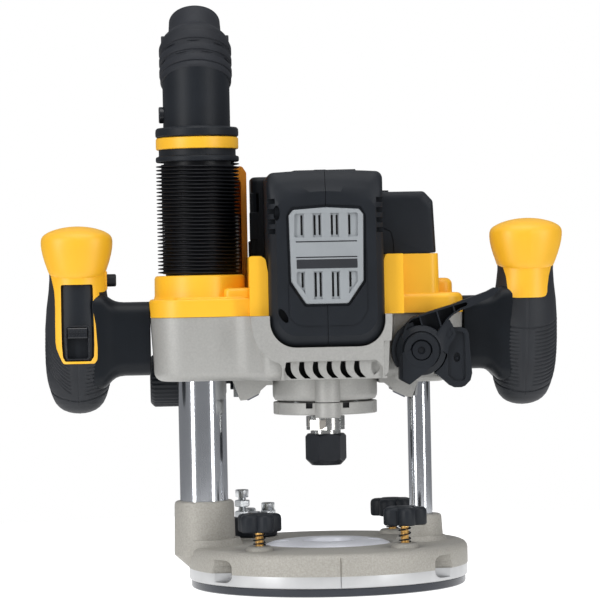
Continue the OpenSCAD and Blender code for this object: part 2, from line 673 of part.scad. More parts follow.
sub_base();
base_fasteners();
base_casting();
template_insert();
dust_column();
guide_column();
column_spring();
clamp_springs();
bellows();
bellows_collar();
lock_ring();
port_connector();
hose_cuff();
port_button();
clamp_knob_front_left();
clamp_knob_front_right();
clamp_knob_rear_right();
clamp_stud_front_left();
clamp_stud_front_right();
clamp_stud_rear_right();
turret();
stop_screws();
carriage_casting();
column_bushes();
deck_cover();
column_cap();
scale_tower();
light_lenses();
bearing_retainer();
retainer_screws();
bearings();
bearing_bracket();
motor_shell_left();
motor_shell_right();
rear_housing();
grille_plate();
battery_rails();
battery_terminals();
control_board();
stator();
rotor();
fan();
spindle();
collet();
collet_nut();
spindle_lock();
depth_rod();
depth_knob();
speed_dial();
left_handle_outer();
left_handle_inner();
right_handle_outer();
right_handle_inner();
handle_crowns();
switch_unit();
power_switch();
handle_button();
plunge_lever();
lever_paddle();
lever_screw();
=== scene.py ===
"""Plunge router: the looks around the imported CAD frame. Lengths are millimetres unless named _M."""
import json
import math

import bmesh
import bpy
from mathutils import Euler, Matrix, Vector


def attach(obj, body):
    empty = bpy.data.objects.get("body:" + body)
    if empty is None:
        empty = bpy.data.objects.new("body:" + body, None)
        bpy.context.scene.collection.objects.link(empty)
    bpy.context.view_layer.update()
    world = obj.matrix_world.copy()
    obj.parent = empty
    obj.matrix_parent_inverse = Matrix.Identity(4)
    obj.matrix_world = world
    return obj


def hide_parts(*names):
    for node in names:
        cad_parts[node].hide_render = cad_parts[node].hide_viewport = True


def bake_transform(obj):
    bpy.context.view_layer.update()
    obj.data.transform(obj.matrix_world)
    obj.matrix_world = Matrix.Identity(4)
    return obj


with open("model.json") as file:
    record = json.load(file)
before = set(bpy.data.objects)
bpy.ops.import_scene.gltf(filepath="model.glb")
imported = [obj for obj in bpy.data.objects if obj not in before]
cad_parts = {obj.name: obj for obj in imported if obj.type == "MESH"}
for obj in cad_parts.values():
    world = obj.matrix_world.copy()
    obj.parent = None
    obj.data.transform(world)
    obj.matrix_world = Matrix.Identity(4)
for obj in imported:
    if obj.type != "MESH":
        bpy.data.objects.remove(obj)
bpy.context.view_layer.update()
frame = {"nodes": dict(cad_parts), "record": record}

MM = 0.001
NODES = frame["nodes"]
SLOTS = {s["node"]: s["material_slot"] for s in frame["record"]["subparts"]}


# ---------------------------------------------------------------- camera, light and floor

CAMERA_AZIMUTH = math.radians(-2.5)
CAMERA_DISTANCE_M = 1.8
CAMERA_TARGET_M = Vector((-0.0140, 0.0, 0.1722))
CAMERA_HEIGHT_M = 0.1845
CAMERA_ROLL = math.radians(-1.15)
CAMERA_LENS = 178.0
SKY_STOPS = [(0.0, 0.34), (0.42, 0.28), (0.52, 0.21), (0.62, 0.26), (1.0, 0.60)]    # (height, brightness)
FLOOR_RADIUS_M = 0.55


def make_camera():
    data = bpy.data.cameras.new("camera")
    data.lens = CAMERA_LENS
    data.sensor_width = 36
    data.clip_end = 50
    camera = bpy.data.objects.new("camera", data)
    bpy.context.scene.collection.objects.link(camera)
    out = Vector((math.sin(CAMERA_AZIMUTH), -math.cos(CAMERA_AZIMUTH), 0)) * CAMERA_DISTANCE_M
    camera.location = CAMERA_TARGET_M + out
    camera.location.z = CAMERA_HEIGHT_M
    look = (CAMERA_TARGET_M - camera.location).to_track_quat("-Z", "Y")
    camera.rotation_euler = (look.to_matrix() @ Euler((0, 0, CAMERA_ROLL)).to_matrix()).to_euler()
    bpy.context.scene.camera = camera


def area_light(name, place, target, size, power, size_y=None):
    """A softbox; places and sizes in metres."""
    data = bpy.data.lights.new(name, "AREA")
    data.energy = power
    data.size = size
    if size_y:
        data.shape = "RECTANGLE"
        data.size_y = size_y
    light = bpy.data.objects.new(name, data)
    light.location = place
    light.rotation_euler = (Vector(target) - Vector(place)).to_track_quat("-Z", "Y").to_euler()
    bpy.context.scene.collection.objects.link(light)


def make_world():
    """White behind the object; light and reflections come from a sky that is darker round the horizon."""
    world = bpy.data.worlds.new("studio")
    bpy.context.scene.world = world
    world.use_nodes = True
    nodes, links = world.node_tree.nodes, world.node_tree.links
    place = nodes.new("ShaderNodeTexCoord")
    split = nodes.new("ShaderNodeSeparateXYZ")
    links.new(place.outputs["Generated"], split.inputs["Vector"])
    sky = nodes.new("ShaderNodeValToRGB")
    ramp = sky.color_ramp
    while len(ramp.elements) < len(SKY_STOPS):
        ramp.elements.new(0.5)
    for element, (where, level) in zip(ramp.elements, SKY_STOPS):
        element.position = where
        element.color = (level * 0.97, level * 0.985, level * 1.03, 1)
    height = nodes.new("ShaderNodeMapRange")
    height.inputs["From Min"].default_value = -1
    links.new(split.outputs["Z"], height.inputs["Value"])
    links.new(height.outputs["Result"], sky.inputs["Fac"])
    light = nodes["Background"]
    links.new(sky.outputs["Color"], light.inputs["Color"])
    white = nodes.new("ShaderNodeBackground")
    white.inputs["Color"].default_value = (1, 1, 1, 1)
    path = nodes.new("ShaderNodeLightPath")
    mix = nodes.new("ShaderNodeMixShader")
    links.new(path.outputs["Is Camera Ray"], mix.inputs["Fac"])
    links.new(light.outputs["Background"], mix.inputs[1])
    links.new(white.outputs["Background"], mix.inputs[2])
    links.new(mix.outputs["Shader"], nodes["World Output"].inputs["Surface"])


def make_studio():
    make_world()
    middle = (0, 0, 0.17)
    area_light("left_softbox", (-1.35, -1.13, 0.55), middle, 0.34, 15, 1.5)
    area_light("right_softbox", (1.22, -1.26, 0.55), middle, 0.30, 11, 1.5)
    area_light("top_softbox", (0, -0.5, 1.7), middle, 1.3, 12)
    bpy.ops.mesh.primitive_circle_add(vertices=96, radius=FLOOR_RADIUS_M, fill_type="NGON",
                                      location=(0, 0, -0.0002))
    floor = bpy.context.object
    floor.name = "floor"
    mat = bpy.data.materials.new("floor_white")
    mat.use_nodes = True
    bsdf = mat.node_tree.nodes["Principled BSDF"]
    bsdf.inputs["Base Color"].default_value = (0.3, 0.3, 0.3, 1)
    bsdf.inputs["Roughness"].default_value = 0.8
    bsdf.inputs["Emission Color"].default_value = (1, 1, 1, 1)
    bsdf.inputs["Emission Strength"].default_value = 1.0
    floor.data.materials.append(mat)


bpy.context.scene.view_settings.view_transform = "Standard"
make_camera()
make_studio()


# ---------------------------------------------------------------- materials

def material(name, colour, rough, metallic=0.0, grain=0.15, grain_size=0.35, tint=0.08, tint_size=18.0,
             coat=0.0, edge_highlight=0.0, edge_highlight_colour=(0.5, 0.5, 0.5), specular=0.5, rough_spread=0.06,
             bump_depth=0.05):
    """A finish: colour that drifts a little, a fine grain in the surface, and, if asked, a painted highlight
    that lightens the edges.
    """
    mat = bpy.data.materials.new(name)
    mat.use_nodes = True
    nodes, links = mat.node_tree.nodes, mat.node_tree.links
    bsdf = nodes["Principled BSDF"]
    bsdf.inputs["Metallic"].default_value = metallic
    bsdf.inputs["Specular IOR Level"].default_value = specular
    bsdf.inputs["Coat Weight"].default_value = coat
    bsdf.inputs["Coat Roughness"].default_value = 0.2
    place = nodes.new("ShaderNodeTexCoord")
    drift = nodes.new("ShaderNodeTexNoise")
    drift.inputs["Scale"].default_value = 1000.0 / tint_size
    drift.inputs["Detail"].default_value = 4
    links.new(place.outputs["Object"], drift.inputs["Vector"])
    ramp = nodes.new("ShaderNodeValToRGB")
    low = [max(0.0, c * (1 - tint)) for c in colour]
    high = [min(1.0, c * (1 + tint)) for c in colour]
    ramp.color_ramp.elements[0].position, ramp.color_ramp.elements[1].position = 0.3, 0.7
    ramp.color_ramp.elements[0].color = (*low, 1)
    ramp.color_ramp.elements[1].color = (*high, 1)
    links.new(drift.outputs["Fac"], ramp.inputs["Fac"])
    colour_out = ramp.outputs["Color"]
    fine = nodes.new("ShaderNodeTexNoise")
    fine.inputs["Scale"].default_value = 1000.0 / grain_size
    fine.inputs["Detail"].default_value = 3
    links.new(place.outputs["Object"], fine.inputs["Vector"])
    # Painted highlight: sharp convex edges, found by pointiness, are mixed towards a flat lighter colour.
    if edge_highlight:
        geometry = nodes.new("ShaderNodeNewGeometry")
        edge = nodes.new("ShaderNodeMapRange")
        edge.inputs["From Min"].default_value = 0.53
        edge.inputs["From Max"].default_value = 0.62
        edge.inputs["To Max"].default_value = edge_highlight
        links.new(geometry.outputs["Pointiness"], edge.inputs["Value"])
        mix = nodes.new("ShaderNodeMix")
        mix.data_type = "RGBA"
        mix.inputs[7].default_value = (*edge_highlight_colour, 1)
        links.new(edge.outputs["Result"], mix.inputs[0])
        links.new(colour_out, mix.inputs[6])
        colour_out = mix.outputs[2]
    links.new(colour_out, bsdf.inputs["Base Color"])
    spread = nodes.new("ShaderNodeMapRange")
    spread.inputs["To Min"].default_value = max(0.02, rough - rough_spread)
    spread.inputs["To Max"].default_value = min(1.0, rough + rough_spread)
    links.new(fine.outputs["Fac"], spread.inputs["Value"])
    links.new(spread.outputs["Result"], bsdf.inputs["Roughness"])
    bump = nodes.new("ShaderNodeBump")
    bump.inputs["Strength"].default_value = grain
    bump.inputs["Distance"].default_value = bump_depth * MM
    links.new(fine.outputs["Fac"], bump.inputs["Height"])
    links.new(bump.outputs["Normal"], bsdf.inputs["Normal"])
    return mat


YELLOW = material("yellow_plastic", (0.95, 0.50, 0.022), 0.42, grain=0.25, tint=0.03, tint_size=40)
# Painted shade and painted reflected light: a darker, oranger copy of the yellow plastic, for the scale tower
# that sits in shade behind the bellows.
SHADED_YELLOW = material("amber_plastic", (0.80, 0.27, 0.006), 0.45, grain=0.2, tint=0.08)
SLATE = material("slate_plastic", (0.0085, 0.011, 0.0152), 0.50, grain=0.35, tint=0.12, specular=0.28)
SLATE_SOFT = material("slate_soft", (0.017, 0.019, 0.023), 0.58, grain=0.5, tint=0.12, specular=0.35)
# Painted shade: a darker copy of the slate plastic for the handle arms, whose fronts sit in shade.
SHADED_STUB = material("stub_painted_shade", (0.0055, 0.0075, 0.0105), 0.42, grain=0.4, tint=0.12, specular=0.22)
RUBBER = material("bellows_rubber", (0.003, 0.0036, 0.0058), 0.42, grain=0.3, tint=0.2, specular=0.3)
CUFF = material("cuff_rubber", (0.014, 0.016, 0.021), 0.60, grain=0.5, tint=0.15, specular=0.35)
GLOSS = material("dark_gloss", (0.012, 0.014, 0.018), 0.28, grain=0.1, tint=0.15)
CASTING = material("painted_casting", (0.375, 0.372, 0.355), 0.48, metallic=0.25, grain=0.6, grain_size=0.55,
                   tint=0.06, tint_size=1.2, bump_depth=0.12)
SAND = material("sand_casting", (0.36, 0.345, 0.31), 0.58, metallic=0.25, grain=0.9, grain_size=0.7,
                tint=0.12, tint_size=1.0, bump_depth=0.2)
MACHINED = material("machined_aluminium", (0.52, 0.525, 0.53), 0.34, metallic=0.9, grain=0.15, grain_size=0.3)
CHROME = material("chrome", (0.70, 0.72, 0.75), 0.14, metallic=1.0, grain=0.03, tint=0.03, rough_spread=0.03)
ZINC = material("zinc", (0.60, 0.62, 0.63), 0.28, metallic=1.0, grain=0.2, tint=0.06)
GROUND = material("ground_steel", (0.50, 0.50, 0.48), 0.20, metallic=1.0, grain=0.1, tint=0.08)
FLAT_STEEL = material("flat_steel", (0.36, 0.335, 0.305), 0.62, metallic=0.4, grain=0.5, tint=0.1)
BRASS = material("brass", (0.92, 0.55, 0.17), 0.38, metallic=0.75, grain=0.15, tint=0.06)
BLACK_STEEL = material("black_steel", (0.0075, 0.0095, 0.0135), 0.42, grain=0.25, tint=0.15, specular=0.32)
INSERT = material("insert_plastic", (0.70, 0.71, 0.76), 0.34, grain=0.1, tint=0.03)
SUB_BASE = material("sub_base_plastic", (0.014, 0.018, 0.028), 0.25, grain=0.1, tint=0.15)
GRILLE = material("grille_plastic", (0.29, 0.31, 0.325), 0.48, grain=0.3, tint=0.04)
BAND = material("plain_band", (0.025, 0.027, 0.032), 0.4, grain=0.1, tint=0.1)
LENS = material("light_lens", (0.10, 0.11, 0.14), 0.08, grain=0.02, tint=0.1)
# Painted shadow for the dark plates set behind slots and openings; also the own colour of the printed scale
# marks.
SHADOW_AND_PRINT_DARK = material("painted_shadow_and_print", (0.004, 0.004, 0.005), 0.7, grain=0.1, tint=0.2)
GREEN = material("board_green", (0.02, 0.14, 0.05), 0.4, grain=0.3)

CAD_FINISH = {"painted_casting": CASTING, "sub_base_plastic": SUB_BASE, "insert_plastic": INSERT,
              "chrome_column": CHROME, "steel": ZINC, "spring_steel": BLACK_STEEL, "brass": BRASS,
              "bronze": BRASS, "black_plastic": SLATE, "dark_plastic": GLOSS, "yellow_plastic": YELLOW,
              "amber_plastic": SHADED_YELLOW, "bellows_rubber": RUBBER, "cuff_rubber": CUFF,
              "grip_rubber": SLATE_SOFT, "grille_plastic": GRILLE, "black_steel": BLACK_STEEL,
              "polished_steel": GROUND, "lens": LENS, "motor_steel": GROUND, "board": GREEN,}


def finish_cad_nodes():
    """Every CAD node gets its procedural finish and a small rounding of its edges."""
    for name, node in NODES.items():
        mats = node.data.materials
        mats.clear()
        mats.append(CAD_FINISH[SLOTS[name]])
        add_bevel(node, 0.35, 2, 40)
        smooth(node, 40)


# ---------------------------------------------------------------- mesh helpers

def smooth(obj, angle=35):
    obj.data.polygons.foreach_set("use_smooth", [True] * len(obj.data.polygons))
    obj.data.set_sharp_from_angle(angle=math.radians(angle))


def add_bevel(obj, width, segments=3, angle=35):
    bevel = obj.modifiers.new("bevel", "BEVEL")
    bevel.width = width * MM
    bevel.segments = segments
    bevel.limit_method = "ANGLE"
    bevel.angle_limit = math.radians(angle)
    bevel.harden_normals = True
    bevel.miter_outer = "MITER_ARC"


def piece(name, parts, body, mat, stands_for=(), slot=None, bevel=0.0, segments=3, angle=35, ride=True):
    """One object from several (vertices, faces) parts, in millimetres, on a CAD body.

    A piece with a CAD node's name stands for that node and hides it, unless told otherwise; the slot is
    worked out but not used."""
    stands_for = stands_for or ([name] if name in NODES else [])
    slot = slot or (SLOTS[stands_for[0]] if stands_for else None)
    verts, faces = [], []
    for v, f in parts:
        base = len(verts)
        verts += [Vector(p) * MM for p in v]
        faces += [[i + base for i in face] for face in f]
    mesh = bpy.data.meshes.new(name)
    mesh.from_pydata(verts, [], faces)
    bm = bmesh.new()
    bm.from_mesh(mesh)
    bmesh.ops.remove_doubles(bm, verts=bm.verts, dist=1e-6)
    bmesh.ops.recalc_face_normals(bm, faces=bm.faces)
    bm.to_mesh(mesh)
    bm.free()
    obj = bpy.data.objects.new(name, mesh)
    bpy.context.scene.collection.objects.link(obj)
    if mat:
        mesh.materials.append(mat)
    smooth(obj, angle)
    if bevel:
        add_bevel(obj, bevel, segments, angle)
    if stands_for:
        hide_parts(*stands_for)
    if ride:
        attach(obj, body)
    return obj


def settle(obj, body, *bevel):
    """Bevels a piece once its cuts are made, and puts it on its body."""
    add_bevel(obj, *bevel)
    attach(obj, body)


def cut(obj, *tools, union=False):
    """Cuts the tools, objects or bare parts, out of obj, or joins them to it, and removes them."""
    tools = [tool(t) if isinstance(t, tuple) else t for t in tools]
    bevels = [(m.width, m.segments, m.angle_limit) for m in obj.modifiers if m.type == "BEVEL"]
    obj.modifiers.clear()
    for cutter in tools:
        boolean = obj.modifiers.new("cut", "BOOLEAN")
        boolean.operation = "UNION" if union else "DIFFERENCE"
        boolean.solver = "EXACT"
        boolean.object = cutter
    bpy.context.view_layer.update()
    depsgraph = bpy.context.evaluated_depsgraph_get()
    result = bpy.data.meshes.new_from_object(obj.evaluated_get(depsgraph), depsgraph=depsgraph)
    old = obj.data
    obj.modifiers.clear()
    obj.data = result
    bpy.data.meshes.remove(old)
    for cutter in tools:
        bpy.data.objects.remove(cutter)
    smooth(obj, 35)
    for width, segments, angle in bevels:
        add_bevel(obj, width / MM, segments, math.degrees(angle))
    return obj


def tool(*parts):
    return piece("tool", list(parts), None, None, ride=False)


def lathe(profile, centre=(0, 0), segments=96, closed=False, turn=0.0):
    """Revolves (radius, z) points round a vertical axis at centre."""
    verts, faces, rings = [], [], []
    for r, z in profile:
        if r < 1e-6:
            rings.append([len(verts)])
            verts.append((centre[0], centre[1], z))
        else:
            rings.append(list(range(len(verts), len(verts) + segments)))
            for k in range(segments):
                a = 2 * math.pi * k / segments + turn
                verts.append((centre[0] + r * math.cos(a), centre[1] + r * math.sin(a), z))
    pairs = list(zip(rings, rings[1:] + ([rings[0]] if closed else [])))
    for a, b in pairs[: len(rings) if closed else len(rings) - 1]:
        for k in range(segments):
            m = (k + 1) % segments
            face = [a[k % len(a)], a[m % len(a)], b[m % len(b)], b[k % len(b)]]
            face = list(dict.fromkeys(face))
            if len(face) > 2:
                faces.append(face)
    return verts, faces


def moved(part, matrix):
    return [matrix @ Vector(v) for v in part[0]], part[1]


def ring_faces(rings, n, cap=True):
    faces = []
    for i in range(len(rings) - 1):
        for k in range(n):
            m = (k + 1) % n
            faces.append([rings[i][k], rings[i][m], rings[i + 1][m], rings[i + 1][k]])
    if cap:
        faces += [list(reversed(rings[0])), list(rings[-1])]
    return faces


def loft(sections, cap=True):
    """Skins a list of closed sections that have the same number of points."""
    n = len(sections[0])
    verts = [p for s in sections for p in s]
    rings = [list(range(i * n, (i + 1) * n)) for i in range(len(sections))]
    return verts, ring_faces(rings, n, cap)


def slab_y(outline, y0, y1):
    """An (x, z) outline extruded from y0 to y1."""
    return loft([[(x, y0, z) for x, z in outline], [(x, y1, z) for x, z in outline]])


def slab_z(outline, z0, z1):
    return loft([[(x, y, z0) for x, y in outline], [(x, y, z1) for x, y in outline]])


def slab_x(outline, x0, x1):
    return loft([[(x0, y, z) for y, z in outline], [(x1, y, z) for y, z in outline]])


def polar(r, degrees):
    return r * math.cos(math.radians(degrees)), r * math.sin(math.radians(degrees))


def arc(cx, cy, r, a0, a1, n=8):
    return [(cx + r * math.cos(math.radians(a0 + (a1 - a0) * i / n)),
             cy + r * math.sin(math.radians(a0 + (a1 - a0) * i / n))) for i in range(n + 1)]


def rounded(x0, y0, x1, y1, r, n=8):
    return (arc(x0 + r, y0 + r, r, 180, 270, n) + arc(x1 - r, y0 + r, r, 270, 360, n)
            + arc(x1 - r, y1 - r, r, 0, 90, n) + arc(x0 + r, y1 - r, r, 90, 180, n))


def soften(points, radius, n=5):
    """Rounds every corner of a closed outline."""
    out = []
    count = len(points)
    for i in range(count):
        before, here, after = (Vector(points[j % count]) for j in (i - 1, i, i + 1))
        r = radius[i] if isinstance(radius, (list, tuple)) else radius
        if r <= 0:
            out.append(tuple(here))
            continue
        a, b = (before - here), (after - here)
        half = a.angle(b) / 2
        reach = min(r / max(math.tan(half), 1e-3), a.length * 0.48, b.length * 0.48)
        p, q = here + a.normalized() * reach, here + b.normalized() * reach
        for k in range(n + 1):
            t = k / n
            out.append(tuple(p * (1 - t) ** 2 + here * 2 * t * (1 - t) + q * t * t))
    return out


def block(low, high):
    (x0, y0, z0), (x1, y1, z1) = low, high
    return slab_z([(x0, y0), (x1, y0), (x1, y1), (x0, y1)], z0, z1)


def oval(cx, cy, rx, ry, n):
    return [(cx + rx * math.cos(2 * math.pi * k / n),
             cy + ry * math.sin(2 * math.pi * k / n)) for k in range(n)]


def rod_y(x, z, r, y0, y1, segments=48):
    return slab_y(oval(x, z, r, r, segments), y0, y1)


def rod_x(y, z, r, x0, x1, segments=48):
    return slab_x(oval(y, z, r, r, segments), x0, x1)


def bore(r, z0, z1, centre=(0, 0), segments=96):
    """An upright cylinder to cut with."""
    return lathe([(0, z0), (r, z0), (r, z1), (0, z1)], centre, segments)


def spline(points, n=6):
    """A smooth curve through (a, b) points."""
    out = []
    last = len(points) - 1
    for i in range(last):
        around = [points[max(i - 1, 0)], points[i], points[i + 1], points[min(i + 2, last)]]
        for k in range(n):
            t = k / n
            here = []
            for a, b, c, d in zip(*around):
                bend = (2 * a - 5 * b + 4 * c - d) * t * t + (3 * b - a - 3 * c + d) * t ** 3
                here.append(0.5 * (2 * b + (c - a) * t + bend))
            out.append(tuple(here))
    out.append(points[-1])
    return out


finish_cad_nodes()

# ---------------------------------------------------------------- places shared with the frame

DUST_X, GUIDE_X = -74.5, 57.0
DUST_AT, GUIDE_AT = (DUST_X, 0), (GUIDE_X, 0)
LEFT_X, RIGHT_X = -148.5, 122.0
CAST_BOTTOM, CAST_TOP = 125.0, 163.4
SEAT_TOP, BELLOWS_TOP = 188.4, 256.9
MOTOR_TOP = 249.0
CLAMPS = {"front_left": (-43, -50), "front_right": (43, -50), "rear_right": (43, 50)}
TURRET_AT, ROD_AT, KEEL_AT = (-44, 40), (-50.8, 33.2), (0, -31)
HUB_X, HUB_Z = 56.2, 141.0          # the lever's pivot
KNOB_Y, KNOB_Z = 41.8, 124.0        # the depth knob's axis
ROD_BORE_Z = 13.4                   # height of the guide-rod bores in the base
PORT_BUTTON_Z = 285.7
CUFF_LEAN, CUFF_BEND = -25, -11       # degrees at the cuff's foot, and further by its end
CUFF_FRAME = Matrix.Translation((DUST_X, 0, 304)) @ Matrix.Rotation(math.radians(CUFF_LEAN), 4, "X")


def light_frame(side):
    """Where a work light hangs, tilted outwards."""
    return Matrix.Translation((side * 44.2, -12.2, 114.8)) @ Matrix.Rotation(math.radians(side * 26), 4, "Y")


# ---------------------------------------------------------------- base

def rim_notches():
    """Rounded recesses in the rim, open to the front and to the back."""
    tools = []
    for side in (-1, 1):
        left = min(side * 59.8, side * 74)
        outline = rounded(left, 7, left + 14.2, 20.4, 4.4)
        tools += [slab_y(outline, -90, -47.2), slab_y(outline, 47.2, 90)]
    return tools


def make_base_casting():
    rim = lathe([(0, 12), (84.5, 12), (84.6, 12.4), (84.6, 21.2), (84.2, 22.8), (83.2, 24.1), (81.6, 24.9),
                 (79.6, 25.1), (41.6, 25.3), (40.2, 24.6), (39.8, 23.6), (39.8, 14), (0, 14)], segments=192)
    body = piece("base_casting", [rim], "base", SAND, ride=False)
    left = lathe([(0, 11), (9, 11), (18.5, 19.6), (18.6, 21), (18.0, 50), (17.6, 51.3), (16.6, 52),
                  (0, 52)], DUST_AT, 96)
    right = lathe([(0, 20), (13.6, 20), (13.2, 26), (12.4, 39.4), (12.0, 40.5), (11.0, 41), (0, 41)],
                  GUIDE_AT, 72)
    foot = lathe([(0, 22), (18, 22), (15.6, 25.4), (14.2, 28), (0, 30)], GUIDE_AT, 72)
    skirt = tool(lathe([(0, 20), (23.5, 20), (21, 25.2), (19.4, 29), (0, 31)], (DUST_X + 2, 0), 96))
    cut(skirt, block((-200, -60, 0), (-83.4, 60, 31)))
    pad = [(0, 23), (8.6, 23), (8.2, 26.2), (7.2, 27.6), (6.4, 28), (0, 28)]
    pads = [lathe(pad, at, 48) for at in CLAMPS.values()]
    seat = lathe([(0, 23), (16.2, 23), (15.8, 25.6), (15.2, 26.2), (0, 26.2)], TURRET_AT, 64)
    cut(body, left, right, foot, skirt, seat, *pads, union=True)
    cutters = rim_notches() + [rod_x(y, ROD_BORE_Z, 4.15, -90, 90) for y in (-50, 50)]
    cutters += [bore(34, 5, 60), bore(14.6, 18, 80, DUST_AT), bore(7.1, 12, 80, GUIDE_AT, 64)]
    cutters += [bore(2.6, 15, 60, at, 32) for at in CLAMPS.values()]
    cut(body, *cutters, slab_z([(3.0, -86), (2.1, -84.9), (3.0, -83.7), (3.9, -84.9)], 0, 40))
    settle(body, "base", 0.5, 2, 32)
    strip = lathe([(60, 5.05), (83.6, 5.05), (84.1, 5.5), (84.25, 6.2), (84.25, 12.1), (60, 12.1)],
                  segments=192, closed=True)
    band = piece("machined_band", [strip], "base", MACHINED, slot="chrome_column", ride=False)
    cut(band, slab_z([(3.0, -86), (2.3, -84.6), (3.0, -83.6), (3.7, -84.6)], 0, 40), *rim_notches())
    settle(band, "base", 0.25, 2, 32)


def make_sub_base():
    disc = lathe([(30, 0), (81.8, 0), (82.7, 0.5), (83, 1.3), (83, 4.6), (82.6, 5), (30, 5)], segments=192,
                 closed=True)
    sub = piece("sub_base", [disc], "base", SUB_BASE, ride=False)
    tools = []
    for a in (90, 210, 330):
        x, y = polar(66, a)
        tools.append(lathe([(0, -1), (4.9, -1), (4.8, 0), (2.3, 2.5), (2.3, 8), (0, 8)], (x, y), 40))
    cut(sub, *tools)
    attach(sub, "base")


def make_insert():
    ring = lathe([(15.1, 10), (39.3, 10), (39.4, 10.6), (39.5, 20.5), (39.0, 22.6), (37.4, 24.4),
                  (34.2, 25.6), (30, 26.2), (23, 26.6), (16.4, 26.7), (15.4, 26.3), (15.1, 25.6)],
                 segments=144, closed=True)
    insert = piece("template_insert", [ring], "base", INSERT, ride=False)
    cut(insert, *[slab_z(rounded(x - 4.6, -3, x + 4.6, 3, 2.9), 24.6, 30) for x in (-28.6, 28.6)])
    settle(insert, "base", 0.3, 2, 30)


def knob_outline(lobes=5, n=120):
    out = []
    for k in range(n):
        a = 2 * math.pi * k / n
        wave = 0.5 + 0.5 * math.cos(lobes * a)
        flute = 0.16 * math.cos(lobes * 9 * a)
        r = 9.4 + 4.0 * wave ** 0.55 + flute * (0.3 + 0.7 * wave)
        out.append((min(r, 13.35) * math.cos(a), min(r, 13.35) * math.sin(a)))
    return out


def make_clamp_knobs():
    for (where, (x, y)), turn in zip(CLAMPS.items(), (8, -12, 30)):
        levels = [(36.4, 0.93), (36.9, 0.975), (37.6, 1.0), (44.2, 1.0), (45.6, 0.975), (46.5, 0.92),
                  (47, 0.82)]
        sections = [[(px * k, py * k, z) for px, py in knob_outline()] for z, k in levels]
        lift = 2.2 if where == "front_right" else 0.0
        matrix = Matrix.Translation((x, y, lift)) @ Matrix.Rotation(math.radians(turn), 4, "Z")
        parts = [moved(loft(sections), matrix)]
        parts.append(moved(lathe([(0, 46.5), (6.0, 46.5), (6.0, 47.1), (5.6, 47.4), (0, 47.4)],
                                 segments=48), matrix))
        parts.append(moved(lathe([(0, 37.4), (5.2, 37.4), (5.2, 36.3), (4.6, 36.0), (0, 36.0)],
                                 segments=40), matrix))
        piece("clamp_knob_" + where, parts, "clamp_" + where, SLATE, bevel=0.2, segments=2, angle=50)
        stud = [(0, 17.8), (2.2, 17.8), (2.5, 18.2)]
        for k in range(14):
            z = 19 + k * 1.15
            stud += [(2.5, z), (2.25, z + 0.35), (2.25, z + 0.6), (2.5, z + 0.95)]
        stud += [(2.5, 42), (0, 42)]
        piece("clamp_stud_" + where, [moved(lathe(stud, segments=40), matrix)], "clamp_" + where, BRASS)


def coil(x, y, r, wire, z0, z1, turns, per_turn=32, sides=10):
    sections = []
    steps = int(turns * per_turn)
    for i in range(steps + 1):
        a = 2 * math.pi * i / per_turn
        t = i / steps
        flat = 0.5 - 0.5 * math.cos(math.pi * min(max((t * turns - 0.4) / max(turns - 0.8, 0.1), 0), 1))
        z = z0 + wire + (z1 - z0 - 2 * wire) * (0.35 * flat + 0.65 * t)
        ring = []
        for k in range(sides):
            b = 2 * math.pi * k / sides
            d = r + wire * math.cos(b)
            ring.append((x + d * math.cos(a), y + d * math.sin(a), z + wire * math.sin(b)))
        sections.append(ring)
    return loft(sections)


def make_springs():
    tops = (35.9, 38.0, 35.9)
    parts = [coil(x, y, 3.4, 0.42, 28.1, top, 3.6) for (x, y), top in zip(CLAMPS.values(), tops)]
    piece("clamp_springs", parts, "base", BLACK_STEEL)
    spring = piece("column_spring", [coil(GUIDE_X, 0, 3.9, 0.8, 24.2, 235.1, 24, 20, 8)], None, BLACK_STEEL,
                   ride=False)
    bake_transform(spring)


def make_turret():
    body = lathe([(0, 26.4), (14.0, 26.4), (14.8, 27.1), (14.8, 34.5), (14.2, 36.6), (13.2, 38),
                  (6.5, 38.3), (0, 38.3)], TURRET_AT, 72)
    piece("turret", [body], "turret", SLATE, bevel=0.3, segments=2)
    parts = []
    for k, top in enumerate((55.7, 47, 43)):
        a = math.radians(225 + 120 * k)
        x, y = TURRET_AT[0] + 9.6 * math.cos(a), TURRET_AT[1] + 9.6 * math.sin(a)
        thread = [(0, 30), (2.2, 30)]
        z = 30.4
        while z < top - 5.2:
            thread += [(2.2, z), (2.5, z + 0.3), (2.5, z + 0.45), (2.2, z + 0.75)]
            z += 0.8
        thread += [(2.2, top - 4.6), (0, top - 4.6)]
        parts.append(lathe(thread, (x, y), 32))
        head = [(0, top - 4.7), (3.9, top - 4.7), (4.1, top - 4.3), (4.1, top - 0.5), (3.7, top), (1.9, top),
                (1.9, top - 2), (0, top - 2)]
        parts.append(lathe(head, (x, y), 48))
        for z0 in (38.5,) + ((45.2,) if k == 0 else ()):
            nut = [(0, z0), (4.3, z0), (4.85, z0 + 0.5), (4.85, z0 + 3.6), (4.3, z0 + 4), (0, z0 + 4)]
            parts.append(lathe(nut, (x, y), 6, turn=0.3))
    piece("stop_screws", parts, "turret", ZINC, bevel=0.15, segments=2)


make_base_casting()
make_sub_base()
make_insert()
make_clamp_knobs()
make_springs()
make_turret()


# ---------------------------------------------------------------- dust port

